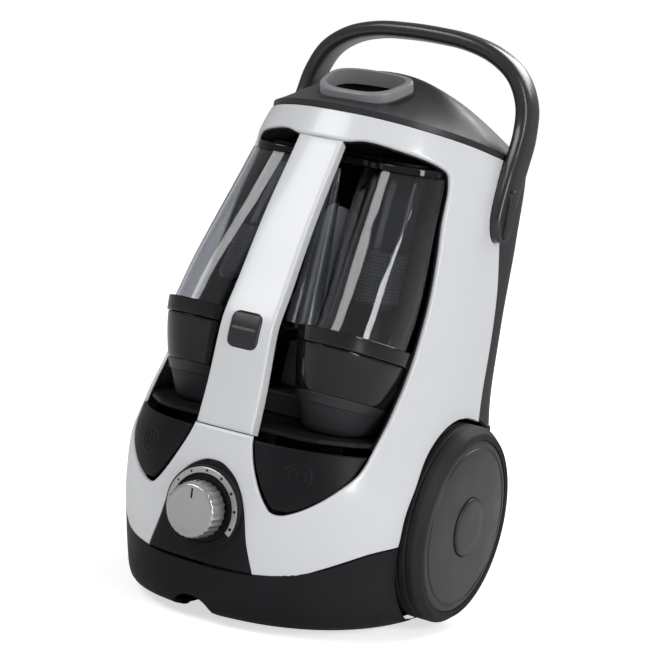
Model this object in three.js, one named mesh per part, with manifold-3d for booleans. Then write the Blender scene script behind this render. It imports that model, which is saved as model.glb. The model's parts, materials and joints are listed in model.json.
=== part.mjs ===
// Upright bagless canister vacuum cleaner with twin dust cups, in millimetres.
// X runs to the right, Y to the back, Z up; the front faces -Y and the base stands on Z = 0.
import * as THREE from "three";
import { mergeVertices } from "three/addons/utils/BufferGeometryUtils.js";
import Module from "manifold-3d";

const wasm = await Module();
wasm.setup();

// ---- driving dimensions ----
const BODY_WIDTH = 260; // widest point of the moulded body, without the wheels
const BODY_DEPTH = 178; // front face to the widest line, at the base
const BODY_HEIGHT = 396; // base to the front of the white rim
const WALL = 3; // thickness of the moulded shells
const SEAM = 0.5; // gap between neighbouring shells
const BASE_DROP = 2.6; // how far the base's edge stays under the shell's slanting edge
const GAP = 0.3; // gap between a seated piece and its seat
const BACK_STEP = 1.2; // how far the rear casing lies under the front shell's skin

const WHEEL_RADIUS = 80;
const WHEEL_WIDTH = 30;
const WHEEL_STAND = 7; // how far a wheel stands out of the body's widest point
const WHEEL_OUT = BODY_WIDTH / 2 + WHEEL_STAND; // outer face of a wheel from the middle plane
const WHEEL_LIFT = 6.1; // how far the wheels clear the floor while the body stands on its base
const TYRE_DEPTH = 10;
const HUB_CAP_RADIUS = 23.5;
const AXLE_RADIUS = 6;
const RUN_GAP = 0.35; // radial clearance of a turning piece on its shaft
const ARCH_GAP = 4.5; // between the tyre and the wheel arch

const KNOB_RADIUS = 22;
const KNOB_HEIGHT = 17;
const SCALE_RADIUS = 29; // middle of the printed power scale
const PRESS = 3; // travel of every push button
const BAR_DEPTH = 12;
const BUTTON_WIDTH = 26;
const BUTTON_HEIGHT = 27;

const CUP_WALL = 2.2;
const CYCLONE_RADIUS = 20;
const MOTOR_RADIUS = 49; // bore of the motor housing
const SHAFT_RADIUS = 4;
const REEL_RADIUS = 50;
const REEL_WIDTH = 28;
const HANDLE_THICK = 14;
const HANDLE_DEEP = 29;
const CASTER_RADIUS = 12;
const INLET_WIDTH = 62;
const INLET_LENGTH = 46;
const INLET_TILT = 0.37; // the hose socket leans forward, in radians

// Body places scale with the three overall sizes.
const WIDE = BODY_WIDTH / 260;
const DEEP = BODY_DEPTH / 178;
const TALL = BODY_HEIGHT / 396;
const LOW = WHEEL_RADIUS + WHEEL_LIFT; // height of the wheel axle
const AXLE_Y = -24.7 * DEEP;

// ---- colours and finishes ----
const FINISH = {
  white: [0xeceef0, 0.22, 0],
  charcoal: [0x46474b, 0.45, 0],
  black: [0x17181a, 0.35, 0],
  rubber: [0x1d1e20, 0.8, 0],
  silver: [0xbfc1c4, 0.3, 0.9],
  steel: [0x9a9ca0, 0.3, 1],
  smoke: [0x5a5d62, 0.08, 0],
  pale: [0xb4b7bb, 0.35, 0],
  copper: [0xb06a3c, 0.4, 0.9],
  foam: [0x33383d, 0.95, 0],
  paper: [0xe6e4dc, 0.9, 0],
  board: [0x1f5a3a, 0.6, 0],
};

const canister = new THREE.Group();

// ---- meshes and solids ----
function toSolid(geometry) {
  const bare = new THREE.BufferGeometry();
  bare.setAttribute("position", geometry.getAttribute("position"));
  bare.setIndex(geometry.index);
  const merged = mergeVertices(bare, 1e-3);
  return new wasm.Manifold(
    new wasm.Mesh({
      numProp: 3,
      vertProperties: merged.getAttribute("position").array,
      triVerts: new Uint32Array(merged.index.array),
    }),
  );
}

function toGeometry(solid) {
  const data = solid.getMesh();
  const geometry = new THREE.BufferGeometry();
  const count = data.numVert * 3;
  const position = new Float32Array(count);
  for (let i = 0; i < data.numVert; i++) {
    const from = i * data.numProp;
    position.set(data.vertProperties.subarray(from, from + 3), i * 3);
  }
  geometry.setAttribute("position", new THREE.BufferAttribute(position, 3));
  geometry.setIndex(new THREE.BufferAttribute(data.triVerts, 1));
  return geometry;
}

function add(name, solid, finish) {
  const [color, roughness, metalness] = FINISH[finish];
  const material = new THREE.MeshStandardMaterial({ color, roughness, metalness });
  const geometry = toGeometry(solid);
  geometry.computeVertexNormals();
  const mesh = new THREE.Mesh(geometry, material);
  mesh.name = name;
  canister.add(mesh);
}

function merge(solids) {
  return solids.reduce((all, one) => all.add(one));
}

function flipX(solid) {
  return solid.mirror([1, 0, 0]);
}

// ---- simple shapes ----
function box(x0, x1, y0, y1, z0, z1) {
  const geometry = new THREE.BoxGeometry(x1 - x0, y1 - y0, z1 - z0);
  geometry.translate((x0 + x1) / 2, (y0 + y1) / 2, (z0 + z1) / 2);
  return toSolid(geometry);
}

// A turned piece about the X, Y or Z axis through a centre: profile points are [radius, place].
function turned(profile, axis, centre, sides = 24) {
  const points = profile.map(([radius, place]) => new THREE.Vector2(radius, place));
  const geometry = new THREE.LatheGeometry([...points, points[0]], sides);
  if (axis === "x") geometry.rotateZ(-Math.PI / 2);
  if (axis === "z") geometry.rotateX(Math.PI / 2);
  geometry.translate(...centre);
  const solid = toSolid(geometry);
  if (solid.volume() > 0) return solid;
  geometry.index.array.reverse();
  return toSolid(geometry);
}

function rod(radius, from, to, axis, centre, sides = 24) {
  const profile = [
    [0, from],
    [radius, from],
    [radius, to],
    [0, to],
  ];
  return turned(profile, axis, centre, sides);
}

function tube(outer, inner, from, to, axis, centre, sides = 24) {
  const profile = [
    [inner, from],
    [outer, from],
    [outer, to],
    [inner, to],
  ];
  return turned(profile, axis, centre, sides);
}

// A closed body between two grids of points. Each grid is rows of [x, y, z].
function between(outer, inner, ring) {
  const rows = outer.length;
  const columns = outer[0].length;
  const position = [...outer, ...inner].flat(2);
  const index = [];
  const at = (sheet, i, j) => sheet * rows * columns + (i % rows) * columns + j;
  const quad = (a, b, c, d) => index.push(a, b, c, a, c, d);
  const lastRow = ring ? rows : rows - 1;
  for (let i = 0; i < lastRow; i++) {
    for (let j = 0; j < columns - 1; j++) {
      quad(at(0, i, j), at(0, i + 1, j), at(0, i + 1, j + 1), at(0, i, j + 1));
      quad(at(1, i, j), at(1, i, j + 1), at(1, i + 1, j + 1), at(1, i + 1, j));
    }
    quad(at(0, i, 0), at(1, i, 0), at(1, i + 1, 0), at(0, i + 1, 0));
    const j = columns - 1;
    quad(at(0, i, j), at(0, i + 1, j), at(1, i + 1, j), at(1, i, j));
  }
  if (!ring) {
    for (let j = 0; j < columns - 1; j++) {
      const i = rows - 1;
      quad(at(0, 0, j), at(0, 0, j + 1), at(1, 0, j + 1), at(1, 0, j));
      quad(at(0, i, j), at(1, i, j), at(1, i, j + 1), at(0, i, j + 1));
    }
  }
  return closed(position, index);
}

function closed(position, index) {
  const geometry = new THREE.BufferGeometry();
  geometry.setAttribute("position", new THREE.Float32BufferAttribute(position, 3));
  geometry.setIndex(index);
  const solid = toSolid(geometry);
  if (solid.volume() > 0) return solid;
  geometry.setIndex([...index].reverse());
  return toSolid(geometry);
}

// A solid through a stack of rings of points, closed by a fan at both ends.
function loft(rings) {
  const sides = rings[0].length;
  const position = rings.flat(2);
  const index = [];
  for (let i = 0; i < rings.length - 1; i++) {
    for (let j = 0; j < sides; j++) {
      const k = (j + 1) % sides;
      const [a, b, c, d] = [i * sides + j, i * sides + k, (i + 1) * sides + k, (i + 1) * sides + j];
      index.push(a, b, c, a, c, d);
    }
  }
  for (const [ring, turn] of [
    [0, false],
    [rings.length - 1, true],
  ]) {
    const hub = position.length / 3;
    for (let axis = 0; axis < 3; axis++) {
      position.push(rings[ring].reduce((sum, p) => sum + p[axis], 0) / sides);
    }
    for (let j = 0; j < sides; j++) {
      const a = ring * sides + j;
      const b = ring * sides + ((j + 1) % sides);
      index.push(...(turn ? [a, b, hub] : [b, a, hub]));
    }
  }
  return closed(position, index);
}

// ---- the body's outer skin ----
// Sections up the body: height, half width, y of the widest line, y of the front, corner power.
const SECTIONS = [
  [0, 104, -25, -168, 2.3],
  [10, 116, -25, -199, 2.3],
  [22, 120, -25, -202.5, 2.32],
  [46, 125, -25, -203, 2.4],
  [86, 130, -25, -201.5, 2.6],
  [117, 130, -25, -198, 2.75],
  [148, 124, -25, -191.5, 2.75],
  [181, 118, -20, -186, 2.7],
  [225, 113, -14, -182, 2.6],
  [260, 109, -9, -168, 2.5],
  [310, 105, -3, -147, 2.35],
  [369, 100, 5, -117, 2.1],
  [396, 92, 8, -104, 2.1],
].map(([z, half, wide, front, power]) => [z * TALL, half * WIDE, wide * DEEP, front * DEEP, power]);
// y of the back face up the body.
const BACK = [
  [0, 34],
  [30, 40],
  [160, 42],
  [310, 72],
  [375, 80],
  [440, 82],
].map(([z, y]) => [z * TALL, y * DEEP]);
const BACK_POWER = 9;

// Monotone cubic through a column of a table, by its first column.
function track(table, column, z) {
  const last = table.length - 1;
  const place = Math.min(Math.max(z, table[0][0]), table[last][0]);
  let k = 0;
  while (k < last - 1 && table[k + 1][0] < place) k++;
  const slope = (i) => (table[i + 1][column] - table[i][column]) / (table[i + 1][0] - table[i][0]);
  const bend = (i) => {
    if (i === 0) return slope(0);
    if (i === last) return slope(last - 1);
    const [a, b] = [slope(i - 1), slope(i)];
    return a * b > 0 ? (2 * a * b) / (a + b) : 0;
  };
  const span = table[k + 1][0] - table[k][0];
  const t = (place - table[k][0]) / span;
  const [p, q] = [table[k][column], table[k + 1][column]];
  const [m, n] = [bend(k) * span, bend(k + 1) * span];
  return (
    p * (1 + 2 * t) * (1 - t) ** 2 + m * t * (1 - t) ** 2 + q * t * t * (3 - 2 * t) + n * t * t * (t - 1)
  );
}

function section(z) {
  const [half, wide, front, power] = [1, 2, 3, 4].map((column) => track(SECTIONS, column, z));
  return { half, wide, front: wide - front, back: track(BACK, 1, z) - wide, power };
}

// A point of the skin: a turn of 90 degrees is the front, 0 the right side, -90 the back.
function bare(turn, z) {
  const s = section(z);
  const [c, n] = [Math.cos(turn), Math.sin(turn)];
  const power = n >= 0 ? s.power : BACK_POWER;
  const reach = (Math.abs(c) ** power + Math.abs(n) ** power) ** (-1 / power);
  return [s.half * c * reach, s.wide - (n >= 0 ? s.front : s.back) * n * reach, z];
}

// The same point moved inwards along the skin's normal.
function skin(turn, z, inset) {
  if (!inset) return bare(turn, z);
  const step = 0.02;
  const side = new THREE.Vector3(...bare(turn + step, z)).sub(new THREE.Vector3(...bare(turn - step, z)));
  const low = Math.max(z - 2, 0);
  const high = Math.min(z + 2, BODY_HEIGHT);
  const up = new THREE.Vector3(...bare(turn, high)).sub(new THREE.Vector3(...bare(turn, low)));
  const normal = side.cross(up).normalize();
  const point = new THREE.Vector3(...bare(turn, z)).addScaledVector(normal, inset);
  return point.toArray();
}

// The turn at which the skin's front half passes a given x, or its side passes a given y.
function turnAtX(x, z) {
  const s = section(z);
  const across = Math.min(Math.abs(x) / s.half, 1);
  const along = (1 - across ** s.power) ** (1 / s.power);
  return Math.atan2(along, Math.sign(x || 1) * across);
}

function turnAtY(y, z) {
  const s = section(z);
  const ahead = y < s.wide;
  const along = Math.min(Math.abs(y - s.wide) / (ahead ? s.front : s.back), 1);
  const power = ahead ? s.power : BACK_POWER;
  const across = (1 - along ** power) ** (1 / power);
  return Math.atan2(ahead ? along : -along, across);
}

function skinSolid(inset, z0, z1, sides = 32) {
  const heights = [z0, ...SECTIONS.map((row) => row[0]).filter((z) => z > z0 + 2 && z < z1 - 2), z1];
  const rings = heights.map((z) =>
    Array.from({ length: sides }, (_, i) => {
      const [x, y] = skin((i / sides) * Math.PI * 2, z, inset);
      return [x, y, z];
    }),
  );
  return loft(rings);
}

// ---- outlines that neighbouring pieces share ----
// Height of the white rim, a plane that falls towards the back.
function rimHeight(y) {
  return BODY_HEIGHT - 18.2 * TALL - (0.17 * y) / DEEP;
}

const onFront = (x, z) => [turnAtX(x * WIDE, z * TALL), z * TALL];
const onSide = (y, z) => [turnAtY(y * DEEP, z * TALL), z * TALL];
const onRim = (y) => [turnAtY(y * DEEP, rimHeight(y * DEEP)), rimHeight(y * DEEP)];
const ARCH = WHEEL_RADIUS + ARCH_GAP;
function onArch(degrees) {
  const a = THREE.MathUtils.degToRad(degrees);
  const z = LOW + ARCH * Math.sin(a);
  return [turnAtY(AXLE_Y - ARCH * Math.cos(a), z), z];
}

// Right half of the front shell, from the top middle round to the bottom middle: a point of the
// big opening for the dust cups, and the point of the shell's outer edge that lies across from it.
const SHELL_EDGES = [
  [onFront(0, 374), [Math.PI / 2, rimHeight(-104 * DEEP)]],
  [onFront(21, 374), onRim(-101.5)],
  [onFront(36, 376.3), onRim(-96)],
  [onFront(60, 373), onRim(-84)],
  [onFront(80, 367), onRim(-60)],
  [onFront(88.5, 360.5), onRim(-30)],
  [onFront(91, 352), onRim(-2)],
  [onFront(92.5, 344), onRim(16.5)],
  [onFront(93.5, 336), onSide(15, 360)],
  [onFront(95.5, 320), onSide(12, 344)],
  [onFront(98.5, 298), onSide(19, 308)],
  [onFront(102, 264), onSide(24, 263)],
  [onFront(105.5, 226), onSide(17, 223)],
  [onFront(106.2, 194), onSide(9, 191)],
  [onFront(106, 184), onArch(109)],
  [onFront(105.9, 175), onArch(100)],
  [onFront(105.7, 166), onArch(91)],
  [onFront(105.2, 156), onArch(81)],
  [onFront(104.4, 147), onArch(70)],
  [onFront(103.2, 138.5), onArch(59)],
  [onFront(101.5, 131), onArch(48)],
  [onFront(98.7, 125.4), onArch(38)],
  [onFront(95, 120), onArch(28)],
  [onFront(90.6, 114.5), onArch(18)],
  [onFront(86, 109.5), onArch(8)],
  [onFront(77, 102), onArch(-7.5)],
  [onFront(68, 96.5), onSide(-135, 70.3)],
  [onFront(60, 93.6), onSide(-167, 56.5)],
  [onFront(53, 94.5), onFront(75, 49.4)],
  [onFront(47.5, 100), onFront(47, 45.6)],
  [onFront(42, 108), onFront(39.5, 68)],
  [onFront(36, 119), onFront(33.5, 92)],
  [onFront(31, 130), onFront(28, 105)],
  [onFront(27.5, 140), onFront(20, 115)],
  [onFront(25.8, 147.2), onFront(10, 121.5)],
  [onFront(13, 147.2), onFront(5, 123)],
  [onFront(0, 147.2), onFront(0, 123.4)],
];
// The black base's top edge as y and z, seen from the side.
const BASE_EDGE = [
  [-108.4, 75],
  [-135, 70.3],
  [-167, 56.5],
  [-187, 49.4],
  [-197, 45.6],
  [-230, 43.6],
];
// Half width of the control panel up its height.
const PANEL_EDGE = [
  [46.2, 46.2],
  [68, 38.9],
  [92, 32.9],
  [105, 27.4],
  [115, 19.4],
  [121, 9.4],
  [122.6, 2],
];
// Foot button: height, inner x and outer x.
const PAD_EDGE = [
  [97, 55, 65],
  [101, 50.5, 73],
  [109, 44.5, 84],
  [119, 38.5, 93.5],
  [130, 33, 99.8],
  [144.5, 28, 102.8],
];
// y of the joint between the white shell and the dark casing, up the body.
const PARTING = [
  [150, 3],
  [166, 3],
  [191, 9],
  [223, 17],
  [263, 24],
  [308, 19],
  [344, 12],
  [360, 15],
  [376, 16.5],
];
// Each dust cup's oval: height, x and y of the middle, half width and half depth.
const CUP = [
  [153.6, 64, -104, 31, 40],
  [180, 64, -109, 34, 47],
  [214, 64, -113, 35.5, 50],
  [236, 63.4, -105, 35.6, 49.5],
  [300, 56.4, -79, 36.4, 45],
  [355, 50, -54, 36.5, 39.5],
].map(scaledOval);
// The wider oval of the lower tubs and their band.
const TUB = [
  [153.6, 58, -104, 30, 48],
  [180, 59, -107, 38, 60],
  [213, 59.5, -108, 40.8, 64],
  [228, 59.5, -108, 40.8, 64],
].map(scaledOval);
function scaledOval([z, x, y, a, b]) {
  return [z * TALL, x * WIDE, y * DEEP, a * WIDE, b * DEEP];
}

const BAND_LOW = 213 * TALL;
const BAND_HIGH = 228 * TALL;
const CUP_TOP = 355 * TALL;
const SHELF = 150 * TALL; // underside of the bin bay's floor
const BAY_WALL_Y = 5 * DEEP; // rear face of the bin bay's back wall

// ---- clearances cut from several shells ----
function wheelSpace(radius, from) {
  const right = rod(radius, from, BODY_WIDTH, "x", [0, AXLE_Y, LOW], 36);
  return right.add(flipX(right));
}

// Centre line of the carrying handle: x, y and z of the right half, from its end to the top.
const HANDLE_LINE = [
  [106, 9, 316],
  [106.5, 11, 336],
  [106.3, 17, 356],
  [105, 27, 376],
  [103.3, 36, 398],
  [99.5, 39, 422],
  [88, 38, 443],
  [68, 36, 457],
  [42, 34, 464.5],
  [15, 33, 466.7],
].map(([x, y, z]) => [x * WIDE, y * DEEP, z * TALL]);

function handleSolid(grow) {
  const right = HANDLE_LINE.map((p) => new THREE.Vector3(...p));
  const left = [...right].reverse().map((p) => new THREE.Vector3(-p.x, p.y, p.z));
  const path = new THREE.CatmullRomCurve3([...right, ...left], false, "centripetal");
  const steps = 34;
  const sides = 12;
  const rings = [];
  for (let i = 0; i <= steps; i++) {
    const t = i / steps;
    const centre = path.getPoint(t);
    const along = path.getTangent(t);
    const across = new THREE.Vector3(0, 1, 0).addScaledVector(along, -along.y).normalize();
    const out = new THREE.Vector3().crossVectors(along, across);
    const toEnd = Math.min(t, 1 - t) * 16;
    const round = Math.sqrt(1 - Math.max(0, 1 - toEnd - 0.15) ** 2);
    const ring = [];
    for (let j = 0; j < sides; j++) {
      const a = (j / sides) * Math.PI * 2;
      const [c, s] = [Math.cos(a), Math.sin(a)];
      const reach = (Math.abs(c) ** 3 + Math.abs(s) ** 3) ** (-1 / 3);
      const point = centre
        .clone()
        .addScaledVector(out, (HANDLE_THICK / 2 + grow) * c * reach)
        .addScaledVector(across, (HANDLE_DEEP / 2) * round * s * reach + grow * s);
      ring.push(point.toArray());
    }
    rings.push(ring);
  }
  for (const [ring, way] of [
    [rings[0], -1],
    [rings[steps], -1],
  ]) {
    ring.forEach((p) => (p[2] += way * (6 + grow)));
  }
  return loft(rings);
}

// ---- casings ----
function frontShell() {
  const rows = SHELL_EDGES.length;
  const cells = 3;
  const pair = (i) => {
    const k = i < rows ? i : 2 * rows - 2 - i;
    const mirror = ([turn, z]) => (i < rows ? [turn, z] : [Math.PI - turn, z]);
    return SHELL_EDGES[k].map(mirror);
  };
  const sheet = (inset) =>
    Array.from({ length: 2 * rows - 2 }, (_, i) => {
      const [hole, rim] = pair(i);
      return Array.from({ length: cells + 1 }, (_, j) => {
        const t = j / cells;
        return skin(hole[0] + (rim[0] - hole[0]) * t, hole[1] + (rim[1] - hole[1]) * t, inset);
      });
    });
  return between(sheet(0), sheet(WALL), true);
}

function backShell() {
  const columns = 18;
  const lowest = 163 * TALL;
  const cornerTop = rimHeight(16.5 * DEEP);
  const levels = PARTING.slice(1, -1).map(([z]) => z * TALL);
  const sheet = (inset) =>
    [lowest, ...levels, cornerTop].map((z) => {
      const edge = turnAtY(track(PARTING, 1, z / TALL) * DEEP + SEAM + 0.5, z);
      return Array.from({ length: columns + 1 }, (_, i) => {
        const turn = edge + ((-Math.PI - 2 * edge) * i) / columns;
        const top = rimHeight(bare(turn, 370 * TALL)[1]);
        return skin(turn, lowest + ((top - lowest) * (z - lowest)) / (cornerTop - lowest), inset);
      });
    });
  let shell = between(sheet(BACK_STEP), sheet(BACK_STEP + WALL), false);
  const bossY = backFace(CASTER_Z) + 4;
  shell = shell.add(rod(17, bossY - 9, bossY, "y", [0, 0, CASTER_Z]));
  shell = shell.subtract(rod(5 + RUN_GAP, bossY - 20, bossY + 5, "y", [0, 0, CASTER_Z]));
  shell = shell.subtract(box(-GRILLE_HALF, GRILLE_HALF, 20, 90, GRILLE_LOW, GRILLE_HIGH));
  return shell.subtract(rod(OUTLET_RADIUS, 20, 90, "y", [OUTLET_X, 0, OUTLET_Z], 24));
}

function backFace(z) {
  return track(BACK, 1, z) - BACK_STEP;
}

const CASTER_Z = 338 * TALL;
const GRILLE_HALF = 36;
const GRILLE_LOW = 172 * TALL;
const GRILLE_HIGH = 204 * TALL;
const OUTLET_RADIUS = 9;
const OUTLET_X = 62 * WIDE;
const OUTLET_Z = 190 * TALL;

// A prism through the whole width, from points [y, z].
function sidePrism(points, half) {
  const shape = new THREE.Shape(points.map(([y, z]) => new THREE.Vector2(y, z)));
  const geometry = new THREE.ExtrudeGeometry(shape, { depth: 2 * half, bevelEnabled: false });
  geometry.translate(0, 0, -half);
  const turn = new THREE.Matrix4().makeBasis(
    new THREE.Vector3(0, 1, 0),
    new THREE.Vector3(0, 0, 1),
    new THREE.Vector3(1, 0, 0),
  );
  geometry.applyMatrix4(turn);
  return toSolid(geometry);
}

function baseShell() {
  const top = 160 * TALL;
  const tub = skinSolid(0, 0, top).subtract(skinSolid(WALL, 4, top + 5));
  const edge = BASE_EDGE.map(([y, z]) => [y * DEEP, z * TALL - SEAM - BASE_DROP]);
  const frontZone = sidePrism([...edge, [-230 * DEEP, top + 20], [AXLE_Y, top + 20], [AXLE_Y, LOW]], BODY_WIDTH);
  const well = tube(ARCH + 2.5, ARCH, WELL_X - 2.5, BODY_WIDTH / 2, "x", [0, AXLE_Y, LOW], 36);
  const wall = tube(ARCH + 1, AXLE_RADIUS, WELL_X - 2.5, WELL_X, "x", [0, AXLE_Y, LOW], 36);
  const boss = tube(AXLE_RADIUS + 7, AXLE_RADIUS + GAP, WELL_X - 14, WELL_X - 1, "x", [0, AXLE_Y, LOW], 24);
  const inside = skinSolid(WALL + BACK_STEP + SEAM, 1, SHELF - 1);
  const wells = well.add(wall).add(boss).intersect(inside);
  const bore = rod(AXLE_RADIUS + GAP, 60, BODY_WIDTH, "x", [0, AXLE_Y, LOW], 24);
  let shell = tub.subtract(frontZone).subtract(wheelSpace(ARCH, WELL_X));
  shell = shell.add(wells).add(flipX(wells));
  shell = shell.subtract(bore).subtract(flipX(bore));
  return shell.subtract(toeNotch());
}

const WELL_X = 98 * WIDE;

// The arched cut-out in the middle of the base's front lower edge.
function toeNotch() {
  const arch = rod(21 * WIDE, -240 * DEEP, -150 * DEEP, "y", [0, 0, -2], 32);
  return arch;
}

function controlPanel() {
  const cells = 8;
  const sheet = (inset) =>
    PANEL_EDGE.map(([z, half]) =>
      Array.from({ length: cells + 1 }, (_, i) => {
        const x = half * WIDE * (1 - (2 * i) / cells);
        return skin(turnAtX(x, z * TALL), z * TALL, inset);
      }),
    );
  const panel = between(sheet(0), sheet(WALL), false);
  const dial = rod(33, KNOB_SEAT, KNOB_SEAT + 5, "y", [0, 0, KNOB_Z], 40);
  const bore = rod(SHAFT_RADIUS + RUN_GAP, KNOB_SEAT - 20, KNOB_SEAT + 20, "y", [0, 0, KNOB_Z], 20);
  return panel.add(dial).subtract(bore);
}

const KNOB_Z = 86.6 * TALL;
const KNOB_SEAT = -203.4 * DEEP; // flat face of the dial, seen as y

// The power scale: an arc of 240 degrees round the knob.
function scaleRing() {
  const shape = new THREE.Shape();
  const from = THREE.MathUtils.degToRad(-30);
  const to = THREE.MathUtils.degToRad(210);
  shape.absarc(0, 0, SCALE_RADIUS + 2.4, from, to, false);
  shape.absarc(0, 0, SCALE_RADIUS - 2.4, to, from, true);
  const geometry = new THREE.ExtrudeGeometry(shape, { depth: 1, bevelEnabled: false, curveSegments: 20 });
  geometry.rotateX(Math.PI / 2);
  geometry.translate(0, KNOB_SEAT - GAP, KNOB_Z);
  return toSolid(geometry);
}

// ---- top cover and hose socket ----
const COVER_LIP = 5;
const COVER_MIDDLE = -10 * DEEP;
const CROWN = [
  [-104, 11],
  [-90, 15],
  [-60, 28],
  [-25, 42],
  [-5, 47],
  [20, 46],
  [45, 42],
  [82, 36],
];
const INLET_CENTRE = [0, -56 * DEEP, 415 * TALL];

function coverHeight(y, rho, drop) {
  const crown = track(CROWN, 1, y / DEEP) - drop;
  return rimHeight(y) + COVER_LIP - drop + crown * Math.max(0, 1 - rho ** 2.6) ** 0.8;
}

function coverSolid(inset, drop) {
  const sides = 32;
  const levels = [1, 0.92, 0.78, 0.58, 0.3];
  const edge = (i) => {
    const turn = (i / sides) * Math.PI * 2;
    const guess = bare(turn, rimHeight(0));
    return skin(turn, Math.min(rimHeight(guess[1]), BODY_HEIGHT), inset);
  };
  const ring = (rho, height) =>
    Array.from({ length: sides }, (_, i) => {
      const [ex, ey] = edge(i);
      const y = COVER_MIDDLE + (ey - COVER_MIDDLE) * rho;
      return [ex * rho, y, height(y, rho)];
    });
  const foot = ring(1, (y) => rimHeight(y) + GAP + (drop ? -5 : 0));
  return loft([foot, ...levels.map((rho) => ring(rho, (y) => coverHeight(y, rho, drop)))]);
}

// A rounded outline, wider at the back, extruded along the socket's own axis.
function inletPrism(grow, from, to) {
  const half = INLET_WIDTH / 2 + grow;
  const long = INLET_LENGTH / 2 + grow;
  const points = [];
  for (let i = 0; i < 24; i++) {
    const a = (i / 24) * Math.PI * 2;
    const [c, s] = [Math.cos(a), Math.sin(a)];
    const reach = (Math.abs(c) ** 3 + Math.abs(s) ** 3) ** (-1 / 3);
    const y = long * s * reach;
    points.push(new THREE.Vector2(half * c * reach * (1 + 0.12 * (y / long)), y));
  }
  const options = { depth: to - from, bevelEnabled: false };
  const geometry = new THREE.ExtrudeGeometry(new THREE.Shape(points), options);
  geometry.translate(0, 0, from);
  geometry.rotateX(INLET_TILT);
  geometry.translate(...INLET_CENTRE);
  return toSolid(geometry);
}

function topCover(handleSpace) {
  const shell = coverSolid(0.6, 0).subtract(coverSolid(0.6 + WALL, WALL));
  const collar = inletPrism(7.5, -16, -2).intersect(coverSolid(0.6, 0));
  return shell.add(collar).subtract(inletPrism(5 + GAP, -40, 40)).subtract(handleSpace);
}

function hoseSocket() {
  add("inlet_ring", inletPrism(5, -6, 6).subtract(inletPrism(0, -8, 8)), "pale");
  const duct = inletPrism(5, -44, -6 - GAP).subtract(inletPrism(2, -46, 0));
  add("inlet_duct", duct, "black");
}

// ---- wheels ----
function wheels() {
  const centre = [0, AXLE_Y, LOW];
  const inner = WHEEL_OUT - WHEEL_WIDTH;
  const rim = WHEEL_RADIUS - TYRE_DEPTH;
  const tyre = turned(
    [
      [rim + GAP, inner],
      [WHEEL_RADIUS - 3, inner],
      [WHEEL_RADIUS, inner + 4],
      [WHEEL_RADIUS, WHEEL_OUT - 6],
      [WHEEL_RADIUS - 5, WHEEL_OUT],
      [rim + GAP, WHEEL_OUT],
    ],
    "x",
    centre,
    28,
  );
  const disc = turned(
    [
      [AXLE_RADIUS + RUN_GAP, inner + 4],
      [18, inner + 4],
      [18, WHEEL_OUT - 9],
      [rim - 4, WHEEL_OUT - 9],
      [rim - 4, inner + 2],
      [rim, inner + 2],
      [rim, WHEEL_OUT - 1],
      [rim - 3, WHEEL_OUT],
      [HUB_CAP_RADIUS + GAP, WHEEL_OUT + 2],
      [HUB_CAP_RADIUS + GAP, WHEEL_OUT - 4],
      [AXLE_RADIUS + RUN_GAP, WHEEL_OUT - 4],
    ],
    "x",
    centre,
    28,
  );
  const cap = turned(
    [
      [0, WHEEL_OUT - 2],
      [AXLE_RADIUS + 4, WHEEL_OUT - 2],
      [AXLE_RADIUS + 4, WHEEL_OUT - 3.6],
      [HUB_CAP_RADIUS, WHEEL_OUT - 3.6],
      [HUB_CAP_RADIUS, WHEEL_OUT + 3],
      [HUB_CAP_RADIUS - 2, WHEEL_OUT + 4],
      [0, WHEEL_OUT + 4],
    ],
    "x",
    centre,
    28,
  );
  const axle = turned(
    [
      [0, WELL_X - 16],
      [AXLE_RADIUS + 3, WELL_X - 16],
      [AXLE_RADIUS + 3, WELL_X - 14 - GAP],
      [AXLE_RADIUS, WELL_X - 14 - GAP],
      [AXLE_RADIUS, WHEEL_OUT - 3],
      [0, WHEEL_OUT - 3],
    ],
    "x",
    centre,
    24,
  );
  const pieces = { tyre: [tyre, "rubber"], wheel: [disc, "charcoal"], hub_cap: [cap, "charcoal"], axle: [axle, "steel"] };
  for (const [name, [solid, finish]] of Object.entries(pieces)) {
    add(`${name}_right`, solid, finish);
    add(`${name}_left`, flipX(solid), finish);
  }
}

function caster() {
  const seat = backFace(CASTER_Z) + 4 + GAP;
  const wheelY = seat + 17;
  const wheelZ = CASTER_Z - 7;
  const half = 7;
  const stem = rod(5, seat - 14, seat + 2, "y", [0, 0, CASTER_Z], 24);
  const plate = rod(13, seat, seat + 3, "y", [0, 0, CASTER_Z], 32);
  const cheek = (x0, x1) =>
    box(x0, x1, seat + 1, wheelY, wheelZ - 8, wheelZ + 12).add(rod(8, x0, x1, "x", [0, wheelY, wheelZ], 24));
  const fork = merge([stem, plate, cheek(half + 1, half + 4), cheek(-half - 4, -half - 1)]);
  const pin = rod(2 + GAP, -20, 20, "x", [0, wheelY, wheelZ], 16);
  add("caster_fork", fork.subtract(pin), "charcoal");
  add("caster_pin", rod(2, -half - 4.5, half + 4.5, "x", [0, wheelY, wheelZ], 16), "steel");
  add("caster_wheel", tube(CASTER_RADIUS, 2 + RUN_GAP, -half, half, "x", [0, wheelY, wheelZ], 28), "rubber");
}

// ---- dust cups ----
function ovalRing(z, grow, side, table = CUP) {
  const [x, y, a, b] = [1, 2, 3, 4].map((column) => track(table, column, z));
  return Array.from({ length: 24 }, (_, i) => {
    const t = (i / 24) * Math.PI * 2;
    return [side * x + (a + grow) * Math.cos(t), y + (b + grow) * Math.sin(t), z];
  });
}

function oval(z0, z1, grow, side, table = CUP) {
  const inner = table.map((row) => row[0]).filter((z) => z > z0 + 1 && z < z1 - 1);
  return loft([z0, ...inner, z1].map((z) => ovalRing(z, grow, side, table)));
}

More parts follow.
